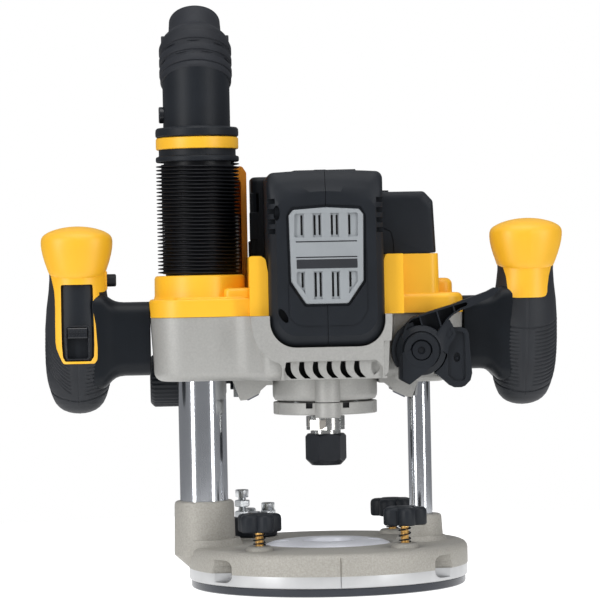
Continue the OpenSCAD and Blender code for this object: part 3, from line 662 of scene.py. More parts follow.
def make_bellows():
    """A spiral fold that stretches between the carriage and the collar."""
    turns, per_turn = 30, 60
    pitch = (BELLOWS_TOP - SEAT_TOP - 0.1) / (turns + 1)
    fold = [(20.6, 0), (22.0, 0), (22.1, 0.10), (24.6, 0.24), (25.15, 0.32), (25.25, 0.42), (25.15, 0.52),
            (24.6, 0.60), (22.1, 0.74), (22.0, 0.97), (20.6, 0.97)]
    sections = []
    for i in range(turns * per_turn + 1):
        a = -2 * math.pi * i / per_turn
        z = SEAT_TOP + pitch * i / per_turn
        sections.append([(DUST_X + r * math.cos(a), r * math.sin(a), z + pitch * t) for r, t in fold])
    bellows = piece("bellows", [loft(sections)], None, RUBBER, ride=False)
    rise = BELLOWS_TOP - SEAT_TOP
    steps = [(20.5, SEAT_TOP + rise * k / 24) for k in range(25)]
    steps += [(19.9, SEAT_TOP + rise * (24 - k) / 24) for k in range(25)]
    liner = piece("bellows_liner", [lathe(steps, DUST_AT, 64, closed=True)], None, RUBBER,
                  slot="bellows_rubber", ride=False)
    for part in (bellows, liner):
        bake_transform(part)


def make_port():
    collar = [(14.6, 256.9), (24.6, 256.9), (25.1, 257.3), (25.2, 258), (25.2, 259.4), (24.8, 260.1),
              (23.5, 260.5), (23.3, 261), (23.3, 264.4), (14.6, 264.4)]
    piece("bellows_collar", [lathe(collar, DUST_AT, 120, closed=True)], "base", SLATE)
    ring = [(21, 264.5), (24.4, 264.5), (24.9, 264.9), (25, 265.6), (25, 270.2), (24.8, 271.2),
            (24.2, 271.6), (21, 271.6)]
    piece("lock_ring", [lathe(ring, DUST_AT, 120, closed=True)], "lock_ring", YELLOW)
    flange = [(17, 264.8), (20.6, 264.8), (20.6, 271.8), (24.4, 271.9), (25.1, 272.6), (25.2, 274.8),
              (25.0, 276.6), (24.2, 277.5), (20.9, 277.7), (20.3, 278.2), (20.3, 314), (17, 314)]
    connector = piece("port_connector", [lathe(flange, DUST_AT, 120, closed=True)], "port", SLATE, ride=False)
    above = moved(block((-40, -40, 0), (40, 40, 60)), CUFF_FRAME)
    cut(connector, above, rod_x(0, PORT_BUTTON_Z, 5.4, DUST_X - 30, DUST_X - 10))
    settle(connector, "port", 0.4, 2, 35)
    button = rod_x(0, PORT_BUTTON_Z, 5.0, DUST_X - 22.9, DUST_X - 17.5)
    piece("port_button", [button], "port_button", GLOSS, bevel=0.8, segments=4, angle=40)


def make_cuff():
    """Rubber cuff: ring after ring along a path that leans back, with raised bands and pressed slots."""
    rows = [(0.05, 20.6), (0.4, 21.2), (1.2, 21.5), (4.2, 21.6)]
    for z in (5.0, 12.4, 19.8):
        rows += [(z, 21.3), (z + 0.35, 21.9), (z + 0.9, 22.05), (z + 3.8, 22.05), (z + 4.4, 21.9),
                 (z + 4.8, 21.2), (z + 6.6, 21.1)]
    rows += [(27.2, 20.9), (28.6, 20.2), (30.2, 18.8), (31.2, 17.4), (32, 16.6), (33.4, 16.2), (38, 15.9),
             (44.6, 15.6), (45.4, 15.3), (45.7, 14.8), (45.6, 13.6), (45, 13.1), (32, 13.1), (26, 14),
             (20, 16.9), (0.05, 17.0)]
    sections = []
    for z, r in rows:
        bend = math.radians(CUFF_LEAN + CUFF_BEND * max(0.0, min(1.0, (z - 18) / 16)))
        centre = CUFF_FRAME @ Vector((0, math.sin(math.radians(-CUFF_BEND)) * max(0, z - 26) * 0.9, z))
        turn = Matrix.Translation(centre) @ Matrix.Rotation(bend, 4, "X")
        sections.append([tuple(turn @ Vector((x, y, 0))) for x, y in oval(0, 0, r, r, 96)])
    sections.append(sections[0])
    cuff = piece("hose_cuff", [loft(sections, cap=False)], "port", CUFF, ride=False)
    cutters = []
    for k, z in enumerate((10.0, 17.4)):
        for a in range(0, 360, 45):
            spin = Matrix.Rotation(math.radians(a + 22.5 * (k % 2) - 70), 4, "Z")
            cutters.append(moved(block((20.6, -4.2, z), (23, 4.2, z + 1.6)), CUFF_FRAME @ spin))
    cut(cuff, tool(*cutters))
    settle(cuff, "port", 0.3, 2, 40)
    lugs = [moved(slab_x(rounded(-3.4, 27.4, 3.4, 32.6, 1.6), x, x + 3.6), CUFF_FRAME) for x in (-20.6, 17)]
    piece("cuff_lugs", lugs, "port", CUFF, slot="cuff_rubber", bevel=0.6)


make_bellows()
make_port()
make_cuff()


# ---------------------------------------------------------------- carriage casting

def inset(points, d):
    """Moves a closed outline, listed anticlockwise, inwards by d along its vertex normals."""
    out, n = [], len(points)
    for i in range(n):
        a, b = Vector(points[i - 1]), Vector(points[(i + 1) % n])
        along = (b - a).normalized()
        out.append((points[i][0] - along.y * d, points[i][1] + along.x * d))
    return out


def rounded_slab(outline, z0, z1, bottom=0.0, top=0.0, draft=0.0, steps=5):
    """An (x, y) outline raised from z0 to z1 with rounded lower and upper edges and a little draft."""
    levels = []
    for k in range(steps + 1):
        t = math.radians(90 * k / steps)
        levels.append((z0 + bottom * (1 - math.cos(t)), bottom * (1 - math.sin(t))))
    for k in range(steps + 1):
        t = math.radians(90 * k / steps)
        levels.append((z1 - top * (1 - math.sin(t)), top * (1 - math.cos(t))))
    sections = []
    for z, d in levels:
        lean = draft * (z1 - z) / (z1 - z0)
        sections.append([(x, y, z) for x, y in inset(outline, d + lean)])
    return loft(sections)


CAST_PLAN = (arc(-83, -11, 22, 180, 270, 14)
             + [(-64, -33), (-56, -33.4), (-50, -35.2), (-46.4, -38.6), (-43.6, -42.4)]
             + arc(-33, -41, 9, 205, 270, 6) + arc(30.2, -41, 8, 270, 345, 6)
             + [(38.2, -38), (38.2, -28), (38.8, -24.4), (41, -22.2), (56, -22)]
             + arc(72, -10, 12, 270, 360, 8) + arc(72, 10, 12, 0, 90, 8)
             + [(56, 22), (49, 23), (46.6, 27), (46, 34)] + arc(36, 42, 10, 0, 90, 6)
             + [(0, 52), (-30, 52), (-37, 51.4), (-41, 48), (-47, 45.2), (-56, 45)]
             + arc(-85, 25, 20, 90, 180, 12))

NOSE_SOCKET = (arc(-18.6, 160, 15.6, 180, 270, 12) + arc(18.6, 160, 15.6, 270, 360, 12)
               + [(34.3, 200), (-34.3, 200)])


def louvre_slot(x):
    """One curved cooling slot: upright at the top, sweeping to the right at the bottom."""
    left = spline([(x - 2.0, 135.9), (x - 2.6, 132.0), (x - 1.7, 128.8), (x + 1.0, 126.0)], 5)
    right = spline([(x + 4.6, 126.0), (x + 2.0, 128.8), (x + 0.9, 132.0), (x + 0.8, 135.9)], 5)
    return slab_y(left + right, -60, -38)


def make_casting():
    body = piece("carriage_casting", [rounded_slab(CAST_PLAN, CAST_BOTTOM, CAST_TOP, bottom=5.5, top=0.5,
                                                   draft=2.2)], "carriage", CASTING, ride=False)
    collar_left = spline([(-45.3, 163.3), (-45.0, 157), (-43.2, 149.5), (-39.4, 142.4), (-34, 137.4),
                          (-28.6, 134.8), (-27.6, 130), (-28.4, 125.4)], 6)
    collar_right = spline([(34.5, 125.4), (34.2, 134.5), (35, 141), (37.3, 148), (38.0, 156),
                           (38.2, 163.3)], 6)
    collar = slab_y(collar_left + collar_right, -50.9, -36)
    boss = lathe([(0, 111.3), (28.4, 111.3), (30.4, 112.1), (31.5, 114), (31.7, 116), (31.7, 128),
                  (0, 128)], segments=128)
    keel = lathe([(0, 111.3), (7.5, 111.3), (7.6, 112), (7.6, 127), (0, 127)], KEEL_AT, 64)
    right_lobe = rounded_slab(rounded(38, -19, 72.5, 19, 9), 121.8, 130, bottom=3, steps=5)
    foot = rounded_slab(rounded(-86, 33, -59, 45, 4), 114, 130, bottom=2)
    lever_boss = rod_y(HUB_X, HUB_Z, 12, -23.6, -15)
    cut(body, collar, boss, keel, right_lobe, foot, lever_boss, union=True)
    brackets = []
    for s in (-1, 1):
        outline = [(57, 127), (32, 127), (32, 121.6), (35.8, 121.5), (39.6, 118.3), (40, 116.8),
                   (48, 112.9), (51.7, 112.6)]
        outline = [(s * x, z) for x, z in outline]
        brackets.append(slab_y(outline if s < 0 else outline[::-1], -17, 13))
    cut(body, *brackets, union=True)
    corner = [(32.6, -70), (46, -70), (46, -34), (38.3, -34), (38.0, -37), (37.2, -38.8), (35.6, -39.6),
              (33.6, -40.4), (32.8, -42.5)]
    spindle_way = [(0, 100), (16.1, 100), (16.1, 117.6), (9.6, 117.6), (9.6, 150.5), (0, 150.5)]
    cutters = [slab_y(NOSE_SOCKET, -70, 20.4), bore(30.5, 150, 190), lathe(spindle_way, segments=64),
               bore(17.1, 100, 190, DUST_AT), bore(9.6, 100, 190, GUIDE_AT, 64),
               bore(4.1, 100, 190, ROD_AT, 32), rod_x(KNOB_Y, KNOB_Z, 17, -120, -87.5),
               rod_x(KNOB_Y, KNOB_Z, 3.1, -90, -40), rod_y(0, 121, 6.4, 25, 60),
               rod_y(HUB_X, HUB_Z, 3.1, -40, -12), slab_z(corner, 126.6, 147.6),
               block((37.3, -60, 118), (44, -23.9, 142))]
    band = [(-26.4, 125), (-26.6, 131.8), (-23.2, 136.3), (28.4, 136.3), (32.0, 131.8), (31.8, 125)]
    cutters.append(slab_y(soften(band, [0.2, 1.5, 2, 2, 1.5, 0.2]), -60, -48.6))
    for s in (-1, 1):
        cutters.append(moved(block((-4.3, -3.3, -4), (4.3, 3.3, 3.2)), light_frame(s)))
    cut(body, *cutters)
    slots = [louvre_slot(-23.2 + 8.15 * k) for k in range(6)]
    shallow = slab_y(spline([(25.6, 135.1), (25.2, 131), (26.8, 127.4)], 5)
                     + spline([(29.2, 129), (30.4, 132), (28.6, 135.1)], 5), -60, -46.4)
    cut(body, *slots, shallow)
    settle(body, "carriage", 0.6, 3, 32)
    # Painted shadow: a dark plate behind the louvre slots stands in for the shade inside them.
    piece("louvre_shadow", [slab_y([(-27, 125.8), (31, 125.8), (31, 136.2), (-27, 136.2)], -38.8, -38.0)],
          "carriage", SHADOW_AND_PRINT_DARK, slot="black_plastic")


def make_bearing_end():
    plate = [(12.3, 103.8), (25, 103.3), (31.0, 103.4), (31.4, 103.9), (31.4, 110.4), (31.1, 110.8),
             (12.3, 110.8)]
    retainer = piece("bearing_retainer", [lathe(plate, segments=128, closed=True)], "carriage", CASTING,
                     ride=False)
    keel = lathe([(0, 101.8), (7.1, 101.8), (7.6, 102.3), (7.6, 110.8), (0, 110.8)], KEEL_AT, 64)
    cut(retainer, keel, union=True)
    tools = [lathe([(0, 100), (12.25, 100), (12.25, 106), (16.1, 106), (16.1, 120), (0, 120)], segments=72)]
    for s in (-1, 1):
        tools.append(slab_y(rounded(s * 11 - 2, 107.4, s * 11 + 2, 112, 0.3), -40, -26))
        tools.append(block((min(s * 28.4, s * 40), -40, 100), (max(s * 28.4, s * 40), -10.5, 120)))
    for a in (45, 135, 225, 315):
        x, y = polar(25, a)
        tools.append(lathe([(0, 100), (4.1, 100), (4.1, 106.4), (2.2, 106.4), (2.2, 120), (0, 120)], (x, y),
                           32))
    cut(retainer, *tools)
    settle(retainer, "carriage", 0.35, 2, 32)
    # Painted shadow: a dark plate inside the retainer makes its slots look shaded.
    piece("retainer_shadow", [block((-13.5, -27.2, 107), (13.5, -26.3, 110.6))], "carriage", SHADOW_AND_PRINT_DARK,
          slot="black_plastic")
    lenses = []
    for s in (-1, 1):
        lenses.append(moved(rounded_slab(rounded(-4, -3, 4, 3, 1), -0.9, 3, bottom=0.6, steps=3),
                            light_frame(s)))
    piece("light_lenses", lenses, "carriage", LENS)


# ---------------------------------------------------------------- yellow deck, towers and cap

def make_deck():
    left_plan = (arc(-83, -11, 22.3, 180, 270, 14) + [(-60, -33.3), (-45.4, -33.3), (-45.4, 45.2)]
                 + arc(-85, 25, 20.2, 90, 180, 12))
    deck = piece("deck_cover", [rounded_slab(left_plan, CAST_TOP + 0.05, 174.2, top=1.4)], "carriage",
                 YELLOW, ride=False)
    seat = [(0, 165), (28.6, 165), (28.6, 174), (27.9, 174.9), (27.5, 176.4), (27.4, 186.6), (26.8, 188),
            (25.8, 188.4), (0, 188.4)]
    left = [lathe(seat, DUST_AT, 128), rounded_slab(rounded(-60.5, -30.6, -44, 19.5, 3.5), 168, 180.4,
                                                    top=2.6),
            rounded_slab(rounded(-90, -31.6, -44.4, 20, 5), 170, 175.3, top=1.2),
            block((-47, -30, 164), (-40, 19.4, 173.9))]
    cut(deck, *left, union=True)
    arms = []
    left_arm = [(-45.6, CAST_TOP + 0.05), (-34.5, CAST_TOP + 0.05), (-34.5, 189), (-35.8, 197),
                (-38.4, 199), (-45.6, 199)]
    arms.append(slab_y(soften(left_arm[::-1], [2, 2.4, 2, 3, 0.1, 0.1]), -42, 19.5))
    right_arm = [(34.5, CAST_TOP + 0.05), (46, CAST_TOP + 0.05), (46, 198.9), (35.6, 198.9), (34.5, 195)]
    arms.append(slab_y(soften(right_arm[::-1], [1.5, 2.6, 0.2, 0.2, 0.2]), -41, 19.5))
    cut(deck, *arms, union=True)
    block_plan = rounded(38, -23.2, 68.8, 19.5, 5.5)
    ledge_plan = (arc(73, -15, 10.4, 270, 360, 8) + arc(73, 9, 10.4, 0, 90, 8) + [(36, 19.4), (36, -25.4)])
    right = [rounded_slab(block_plan, 165, 198.9, top=0.5, draft=-0.6),
             rounded_slab(ledge_plan, CAST_TOP + 0.05, 175.2, top=3.4, steps=6),
             rounded_slab(rounded(58, -2, 79, 19.2, 6), 168, 184, top=4)]
    cut(deck, *right, union=True)
    cut(deck, bore(16, 100, 300, DUST_AT, 72), bore(7.8, 100, 300, GUIDE_AT, 48),
        bore(4.5, 100, 300, ROD_AT, 32), rod_x(0, 150, 23.2, -120, -104.6),
        block((43.2, -60, 150), (44.2, -24, 162)))
    settle(deck, "carriage", 0.5, 3, 40)


def make_tower():
    outline = [(-58, 174.2), (-44.4, 174.2), (-44.4, 251), (-47, 255), (-55, 255), (-58, 252)]
    # Painted shade: the yellow tower takes the darker, oranger copy of its plastic.
    tower = piece("scale_tower", [slab_y(soften(outline, [0.1, 0.1, 3, 2.5, 2.5, 2.5]), 25, 42)],
                  "carriage", SHADED_YELLOW, ride=False)
    cut(tower, bore(4.5, 170, 251, ROD_AT, 32), slab_y(rounded(-53.6, 178, -48, 247, 2.6), 20, 34),
        slab_y(rounded(-50.4, 205, -46.8, 206.6, 0.5), 24, 25.4))
    settle(tower, "carriage", 0.7, 3, 35)
    marks = [block((-57.2, 24.75, 182 + 3.2 * k), (-54.6, 25.1, 182.5 + 3.2 * k)) for k in range(20)]
    piece("scale_marks", marks, "carriage", SHADOW_AND_PRINT_DARK, slot="black_plastic")


def make_cap():
    sections = []
    outline = [(35.0, 199.2), (67.6, 199.2), (66.2, 230.4), (60.8, 236.3), (35.0, 236.3)]
    for y, d in ((-18.6, 0), (-21.4, 0.4), (-22.8, 1.6), (-23.2, 3.2)):
        ring = soften(outline, [0.2, 1.2, 3.4, 3.4, 0.2])
        sections.append([(x - d * (x > 50), y, z - d * (z > 215) * 1.6) for x, z in ring])
    sections = [[(x, 19.5, z) for x, _, z in sections[0]]] + sections
    cap = piece("column_cap", [loft(sections)], "carriage", SLATE, ride=False)
    line = slab_y([(41.6, 199), (42.1, 199), (41.7, 207.4), (40.4, 212.6), (36.4, 214.4), (34.4, 214.4),
                   (34.4, 213.9), (36.2, 213.9), (40.0, 212.2), (41.2, 207.2)], -24, -22.4)
    cut(cap, bore(7.8, 150, 235.4, GUIDE_AT, 48), line)
    settle(cap, "carriage", 0.5, 3, 32)


make_casting()
make_bearing_end()
make_deck()
make_tower()
make_cap()


# ---------------------------------------------------------------- motor housing

def nose_ring(y, half, low, r_low, top, r_top, crown):
    points = arc(-half + r_low, low + r_low, r_low, 180, 270, 12)
    points += arc(half - r_low, low + r_low, r_low, 270, 360, 12)
    points += arc(half - r_top, top - r_top, r_top, 0, 90, 10)
    reach = half - r_top
    for k in range(1, 12):
        t = 1 - 2 * k / 12
        points.append((reach * t, top + crown * (1 - t * t)))
    points += arc(-half + r_top, top - r_top, r_top, 90, 180, 10)
    return [(x, y, z) for x, z in points]


SEAM = 0.14                 # half the gap between the motor shells


def make_nose():
    rows = [(20, 34.4, 144.4, 15, 248.2, 4.4, 1.0), (-41, 34.4, 144.4, 15, 248.2, 4.4, 1.0),
            (-44.4, 34.2, 144.6, 15, 247.2, 5, 1.1), (-47.0, 33.6, 145.4, 14.6, 244.4, 6.4, 1.3),
            (-48.8, 32.6, 146.6, 14, 241.0, 8, 1.5), (-49.8, 31.4, 148.2, 13.2, 238.4, 9.5, 1.6),
            (-52, 29.4, 151.2, 11.8, 234.6, 11, 1.8)]
    sections = [nose_ring(*row) for row in rows]
    whole = loft(sections)
    ridge = slab_y(soften([(-26, 246), (19.4, 246), (18.8, 249.6), (-18, 249.4)], [0.1, 0.1, 0.5, 6]), -38,
                   14)
    fence = [(-22.6, 203), (-22.6, 163), (-18.6, 158.4), (-14, 157.2), (14.6, 157.2), (19.6, 159.4),
             (23.4, 166), (23.4, 203)]
    for side, name in ((-1, "motor_shell_left"), (1, "motor_shell_right")):
        shell = piece(name, [whole], "carriage", SLATE, ride=False)
        cut(shell, ridge, slab_y(soften(fence, [0.1, 4, 2, 2, 2, 3, 4, 0.1]), -52.7, -45), union=True)
        pocket = [(-23.6, 222), (-22.8, 182.6), (-13.4, 168.4), (12.9, 168.4), (23.0, 182.6), (23.6, 222),
                  (20.6, 227.4), (0, 228.6), (-20.4, 227.4)]
        near, far = sorted((SEAM * side, -side * 60))
        tools = [slab_y(soften(pocket, [1.5, 3, 2.5, 2.5, 3, 1.5, 2, 3, 2]), -56, -51.0),
                 block((near, -80, 100), (far, 40, 300)), bore(30.1, 100, 207, segments=72),
                 rod_x(8, MOTOR_TOP - 5, 9, -5.2, 5.2)]
        x0, x1 = sorted((side * 29.9, side * 36))
        for z in (213.2, 219.0, 225.0, 231.0):
            tools.append(block((x0, -56, z - 1.5), (x1, -44.6, z + 1.5)))
        if side < 0:
            tools.append(slab_y(oval(-29, 224, 1.9, 4.5, 32), -60, -47.5))
            tilt = math.radians(28)
            low = []
            for x, z in oval(0, 0, 2.3, 4.7, 32):
                across = x * math.cos(tilt) - z * math.sin(tilt)
                up = z * math.cos(tilt) + x * math.sin(tilt) * 0.6
                low.append((-26.2 + across, 163.4 + up))
            tools.append(slab_y(low, -60, -46.5))
        cut(shell, *tools)
        settle(shell, "carriage", 0.45, 3, 30)


def make_grille():
    outer = [(-22, 222.4), (-21.2, 183.4), (-12.6, 170.1), (12.2, 170.1), (21.4, 183.4), (22, 222.4),
             (19.6, 225.6), (0, 226.9), (-19.4, 225.6)]
    face = soften(outer, [1.2, 2.6, 2, 2, 2.6, 1.2, 2, 4, 2])
    centre = Vector((0, 198))
    sections = []
    for y, k in ((-50.9, 1.0), (-53.0, 1.0), (-53.7, 0.985), (-53.9, 0.965)):
        sections.append([(x * k, y, centre.y + (z - centre.y) * (1 - (1 - k) * 0.8)) for x, z in face])
    plate = piece("grille_plate", [loft(sections)], "carriage", GRILLE, ride=False)
    tools = [slab_y(soften([(-19, 209.4), (18.6, 209.4), (18.8, 223.4), (-18.6, 223.4)], 1.4), -56, -52.5),
             slab_y(soften([(-18, 189.2), (-18, 182.8), (-10.6, 172.8), (10.4, 172.8), (18, 182.8),
                            (18, 189.2)], 1.4), -56, -52.5)]
    cut(plate, *tools)
    ribs = []
    for x0, x1 in ((-13.1, -8.0), (-2.8, 2.6), (7.5, 12.8)):
        for z0, z1 in ((208.6, 224.2), (172.2, 190)):
            ribs.append(slab_z([(x0, -53.6), (x0 + 0.7, -53.85), (x1 - 0.7, -53.85), (x1, -53.6), (x1, -51),
                                (x0, -51)], z0, z1))
    cut(plate, *ribs, union=True)
    slots = []
    for x in (-14.5, -6.8, -3.9, 3.4, 6.3, 13.7):
        outer_slot = abs(x) > 10
        slots.append(slab_y(rounded(x - 0.65, 210.6, x + 0.65, 222.4, 0.4, 3), -56, -49))
        slots.append(slab_y(rounded(x - 0.65, 179.8 if outer_slot else 174.2, x + 0.65, 188.6, 0.4, 3), -56,
                            -49))
    for z in (197.2, 206.4):
        slots.append(slab_y([(-18.2, z), (18.0, z), (18.0, z + 0.75), (-18.2, z + 0.75)], -56, -53.4))
    cut(plate, *slots)
    settle(plate, "carriage", 0.22, 2, 30)
    # Painted shadow: a dark plate behind the grille slots stands in for the shade inside them.
    piece("grille_shadow", [slab_y([(-18.8, 173), (18.6, 173), (18.6, 223.6), (-18.8, 223.6)], -51.3,
                                   -51.15)], "carriage", SHADOW_AND_PRINT_DARK, slot="black_plastic")
    piece("plain_band", [slab_y(rounded(-17.9, 190.9, 18.0, 196.3, 0.3, 3), -54.05, -53.5)], "carriage", BAND,
          slot="dark_plastic", bevel=0.1)
    inlays = [slab_y([(-18.1, z), (17.9, z), (17.9, z + 0.7), (-18.1, z + 0.7)], -53.75,
                     -53.3) for z in (197.2, 206.4)]
    piece("grille_inlays", inlays, "carriage", BAND, slot="dark_plastic")


def make_rear():
    plan = rounded(-43, 20.3, 43, 70, 6)
    rear = piece("rear_housing", [rounded_slab(plan, CAST_TOP + 0.2, 248, top=3.5)], "carriage", SLATE,
                 ride=False)
    cavity = [block((-38, 33, 168), (38, 66.5, 236.8)), block((-38, 33, 236), (32.4, 66.5, 244.4))]
    left_strip = [block((-60, 18, 226.4), (-41.6, 80, 238)), block((-38.8, 10, 226.4), (-37.2, 32, 238)),
                  block((-60, 10, 209), (-41.6, 80, 260))]
    top_corner = slab_y([(34.6, 255), (33.4, 252), (34.4, 240.5), (36, 238.4), (60, 238.4), (60, 255)], 10,
                        80)
    cut(rear, block((-60, 22, 100), (-40, 45.2, 208)), bore(30.3, 100, 207, segments=72),
        block((-16, 60, 186), (16, 80, 201)), *cavity, *left_strip, top_corner)
    cut(rear, *[block((x, 48, 182 + 5 * k),
                      (x + 3.2, 62, 184 + 5 * k)) for k in range(9) for x in (-45, 41.8)])
    settle(rear, "carriage", 0.7, 3, 35)
    clips = [block((-42.9, 20.4, 209.4), (-34.4, 30, 226.4)), block((-42.4, 21.4, 226.2), (-39.6, 24, 238.2)),
             block((-37.4, 21.4, 226.2), (-35.4, 24, 238.2)), block((-42.6, 21, 200.4), (-38.4, 29, 209.8))]
    piece("side_clip", clips, "carriage", SLATE, slot="black_plastic", bevel=0.5)
    ribs = [block((-30, 69.6, 240.6 - 2.6 * k), (30, 70.7, 239.4 - 2.6 * k)) for k in range(3)]
    piece("rear_ribs", ribs, "carriage", SLATE, slot="black_plastic", bevel=0.3, segments=2)


make_nose()
make_grille()
make_rear()


# ---------------------------------------------------------------- handles

GRIP_PROFILE = [(106.2, 0), (106.5, 3.6), (107.1, 6.4), (108.4, 9.7), (110, 12.0), (112.5, 14.3),
                (115, 15.6), (117.4, 16.6), (122.2, 18.1), (126.4, 19.1), (131.5, 19.8), (138, 20.2),
                (146, 20.3), (158, 20.0), (170, 19), (180, 17.6), (188, 16.9), (192, 17)]
RIBS_FROM, RIB_PITCH = 116.6, 2.28
GRIP_FOOT, GRIP_HEAD = GRIP_PROFILE[0][0], GRIP_PROFILE[-1][0]
RIGHT_LEAN = 0.042          # the right handle leans outwards, in mm of X for each mm of height


def grip_radius(z):
    for (z0, r0), (z1, r1) in zip(GRIP_PROFILE, GRIP_PROFILE[1:]):
        if z <= z1:
            return r0 + (r1 - r0) * max(0.0, z - z0) / (z1 - z0)
    return GRIP_PROFILE[-1][1]


def groove(distance, half_width, depth):
    t = abs(distance) / half_width
    return -depth * (0.5 + 0.5 * math.cos(math.pi * t)) if t < 1 else 0.0


def ramp(value, low, high):
    return max(0.0, min(1.0, (value - low) / (high - low)))


def grip_surface(centre, side_rise, mould_z, mould_line=True):
    """A grip turned from its profile, with ribs, a centre seam, a low ring groove and an over-mould line."""
    segments = 176
    levels = [GRIP_FOOT, 106.23, 106.3, 106.5, 106.8, 107.1, 107.7, 108.4, 109.2, 110, 110.8]
    z = 111.4
    while z < GRIP_HEAD:
        levels.append(z)
        z += 0.42 if z < mould_z + side_rise + 16 else 1.4
    levels.append(GRIP_HEAD)
    rings = []
    for z in levels:
        r0 = grip_radius(z) if z > GRIP_FOOT else 0.4
        ring = []
        for k in range(segments):
            a = 2 * math.pi * k / segments
            lean = math.sin(a)
            rise = 7.9 * (1 + lean) + side_rise * max(0.0, -math.cos(a)) ** 2
            d = groove(z - (121.9 + 7.7 * lean), 0.75, 0.75)
            if mould_line:
                d += groove(z - (mould_z + rise), 0.8, 0.6)
            front = abs((a - 1.5 * math.pi + math.pi) % (2 * math.pi) - math.pi)
            back = abs((a - 0.5 * math.pi + math.pi) % (2 * math.pi) - math.pi)
            u = z - rise
            if RIBS_FROM < u < mould_z - 1.6:
                field = ramp(min(front, back), 0.21, 0.27) * ramp(u, RIBS_FROM, RIBS_FROM + 0.8)
                field *= ramp(mould_z - 1.6 - u, 0, 0.8)
                wave = 0.5 - 0.5 * math.cos(2 * math.pi * (u - RIBS_FROM) / RIB_PITCH)
                d -= field * 0.62 * wave ** 2.2
            if z > 112:
                d += groove(min(front, back) * r0, 0.28, 0.35)
            r = r0 + d * ramp(r0, 6, 12)
            ring.append((centre + r * math.cos(a), r * math.sin(a), z))
        rings.append(ring)
    return loft(rings)


def leaning(part):
    """Leans the right handle outwards, keeping the arm where it meets the casting."""
    out = []
    for x, y, z in part[0]:
        out.append((x + RIGHT_LEAN * (z - 152) * ramp(x, 88, 104), y, z))
    return out, part[1]


def grip_stub(centre, side, reach):
    """The arm between the grip and the casting, flared where it meets the grip."""
    sections = []
    for off, extra in ((9, 8.5), (14, 8.0), (16.6, 6.4), (18.6, 4.4), (20.4, 2.6), (22.4, 1.2),
                       (24.8, 0.35), (28, 0.0), (reach, 0.0)):
        ring = rounded(-16 - extra * 0.15, 128.7 - extra, 16 + extra * 0.15, 173 + extra * 0.7, 8.5)
        sections.append([(centre + side * off, y, z) for y, z in ring])
    return loft(sections)


def wrapped(centre, rows, lift, depth, columns=22):
    """A panel that follows the front of the grip; rows are (z, left, right) from the handle's centre."""
    sections = []
    for z, left, right in rows:
        front = []
        for k in range(columns + 1):
            x = left + (right - left) * k / columns
            r = grip_radius(z) + lift
            front.append((centre + x, -math.sqrt(max(r * r - x * x, 1.0)), z))
        back = [(centre + right, depth, z), (centre + left, depth, z)]
        sections.append(front + back)
    return loft(sections)


def crown_part(centre, lip):
    rows = [(190.2, 15.2, 14.4), (190.0, 16.0, 16.2), (190.6, 16.7, 17.6), (192, 17.4, 18.5),
            (194.2, 18.2, 19.1), (198, 19.5, 19.8), (202, 20.6, 20.4), (205.5, 21.3, 20.8),
            (208.5, 21.6, 20.9), (210.6, 21.6, 20.7), (212.2, 21.3, 20.2), (213.5, 20.6, 19.5),
            (214.6, 19.5, 18.4), (215.8, 17.6, 16.8), (216.8, 15.4, 14.8), (217.7, 12.6, 12.5),
            (218.4, 9.8, 10.0), (218.9, 7.0, 7.4), (219.2, 4.4, 4.8), (219.35, 2.0, 2.2), (219.4, 0.5, 0.6)]
    sections = []
    for z, w, d in rows:
        ring = []
        for k in range(96):
            a = 2 * math.pi * k / 96
            c, s = math.cos(a), math.sin(a)
            r = (abs(c) ** 2.6 + abs(s) ** 2.6) ** (-1 / 2.6)
            x, y = w * r * c, d * r * s
            y -= math.copysign(0.09 * abs(x), y) * (abs(y) / d)
            drop = -lip * max(0.0, -y / d) ** 2 * ramp(200 - z, 0, 8)
            ring.append((centre + x, y, z + drop))
        sections.append(ring)
    return loft(sections)


def panel(centre, x0, x1, z0, z1, r, y0, y1):
    return slab_y([(centre + x, z) for x, z in rounded(x0, z0, x1, z1, r)], y0, y1)


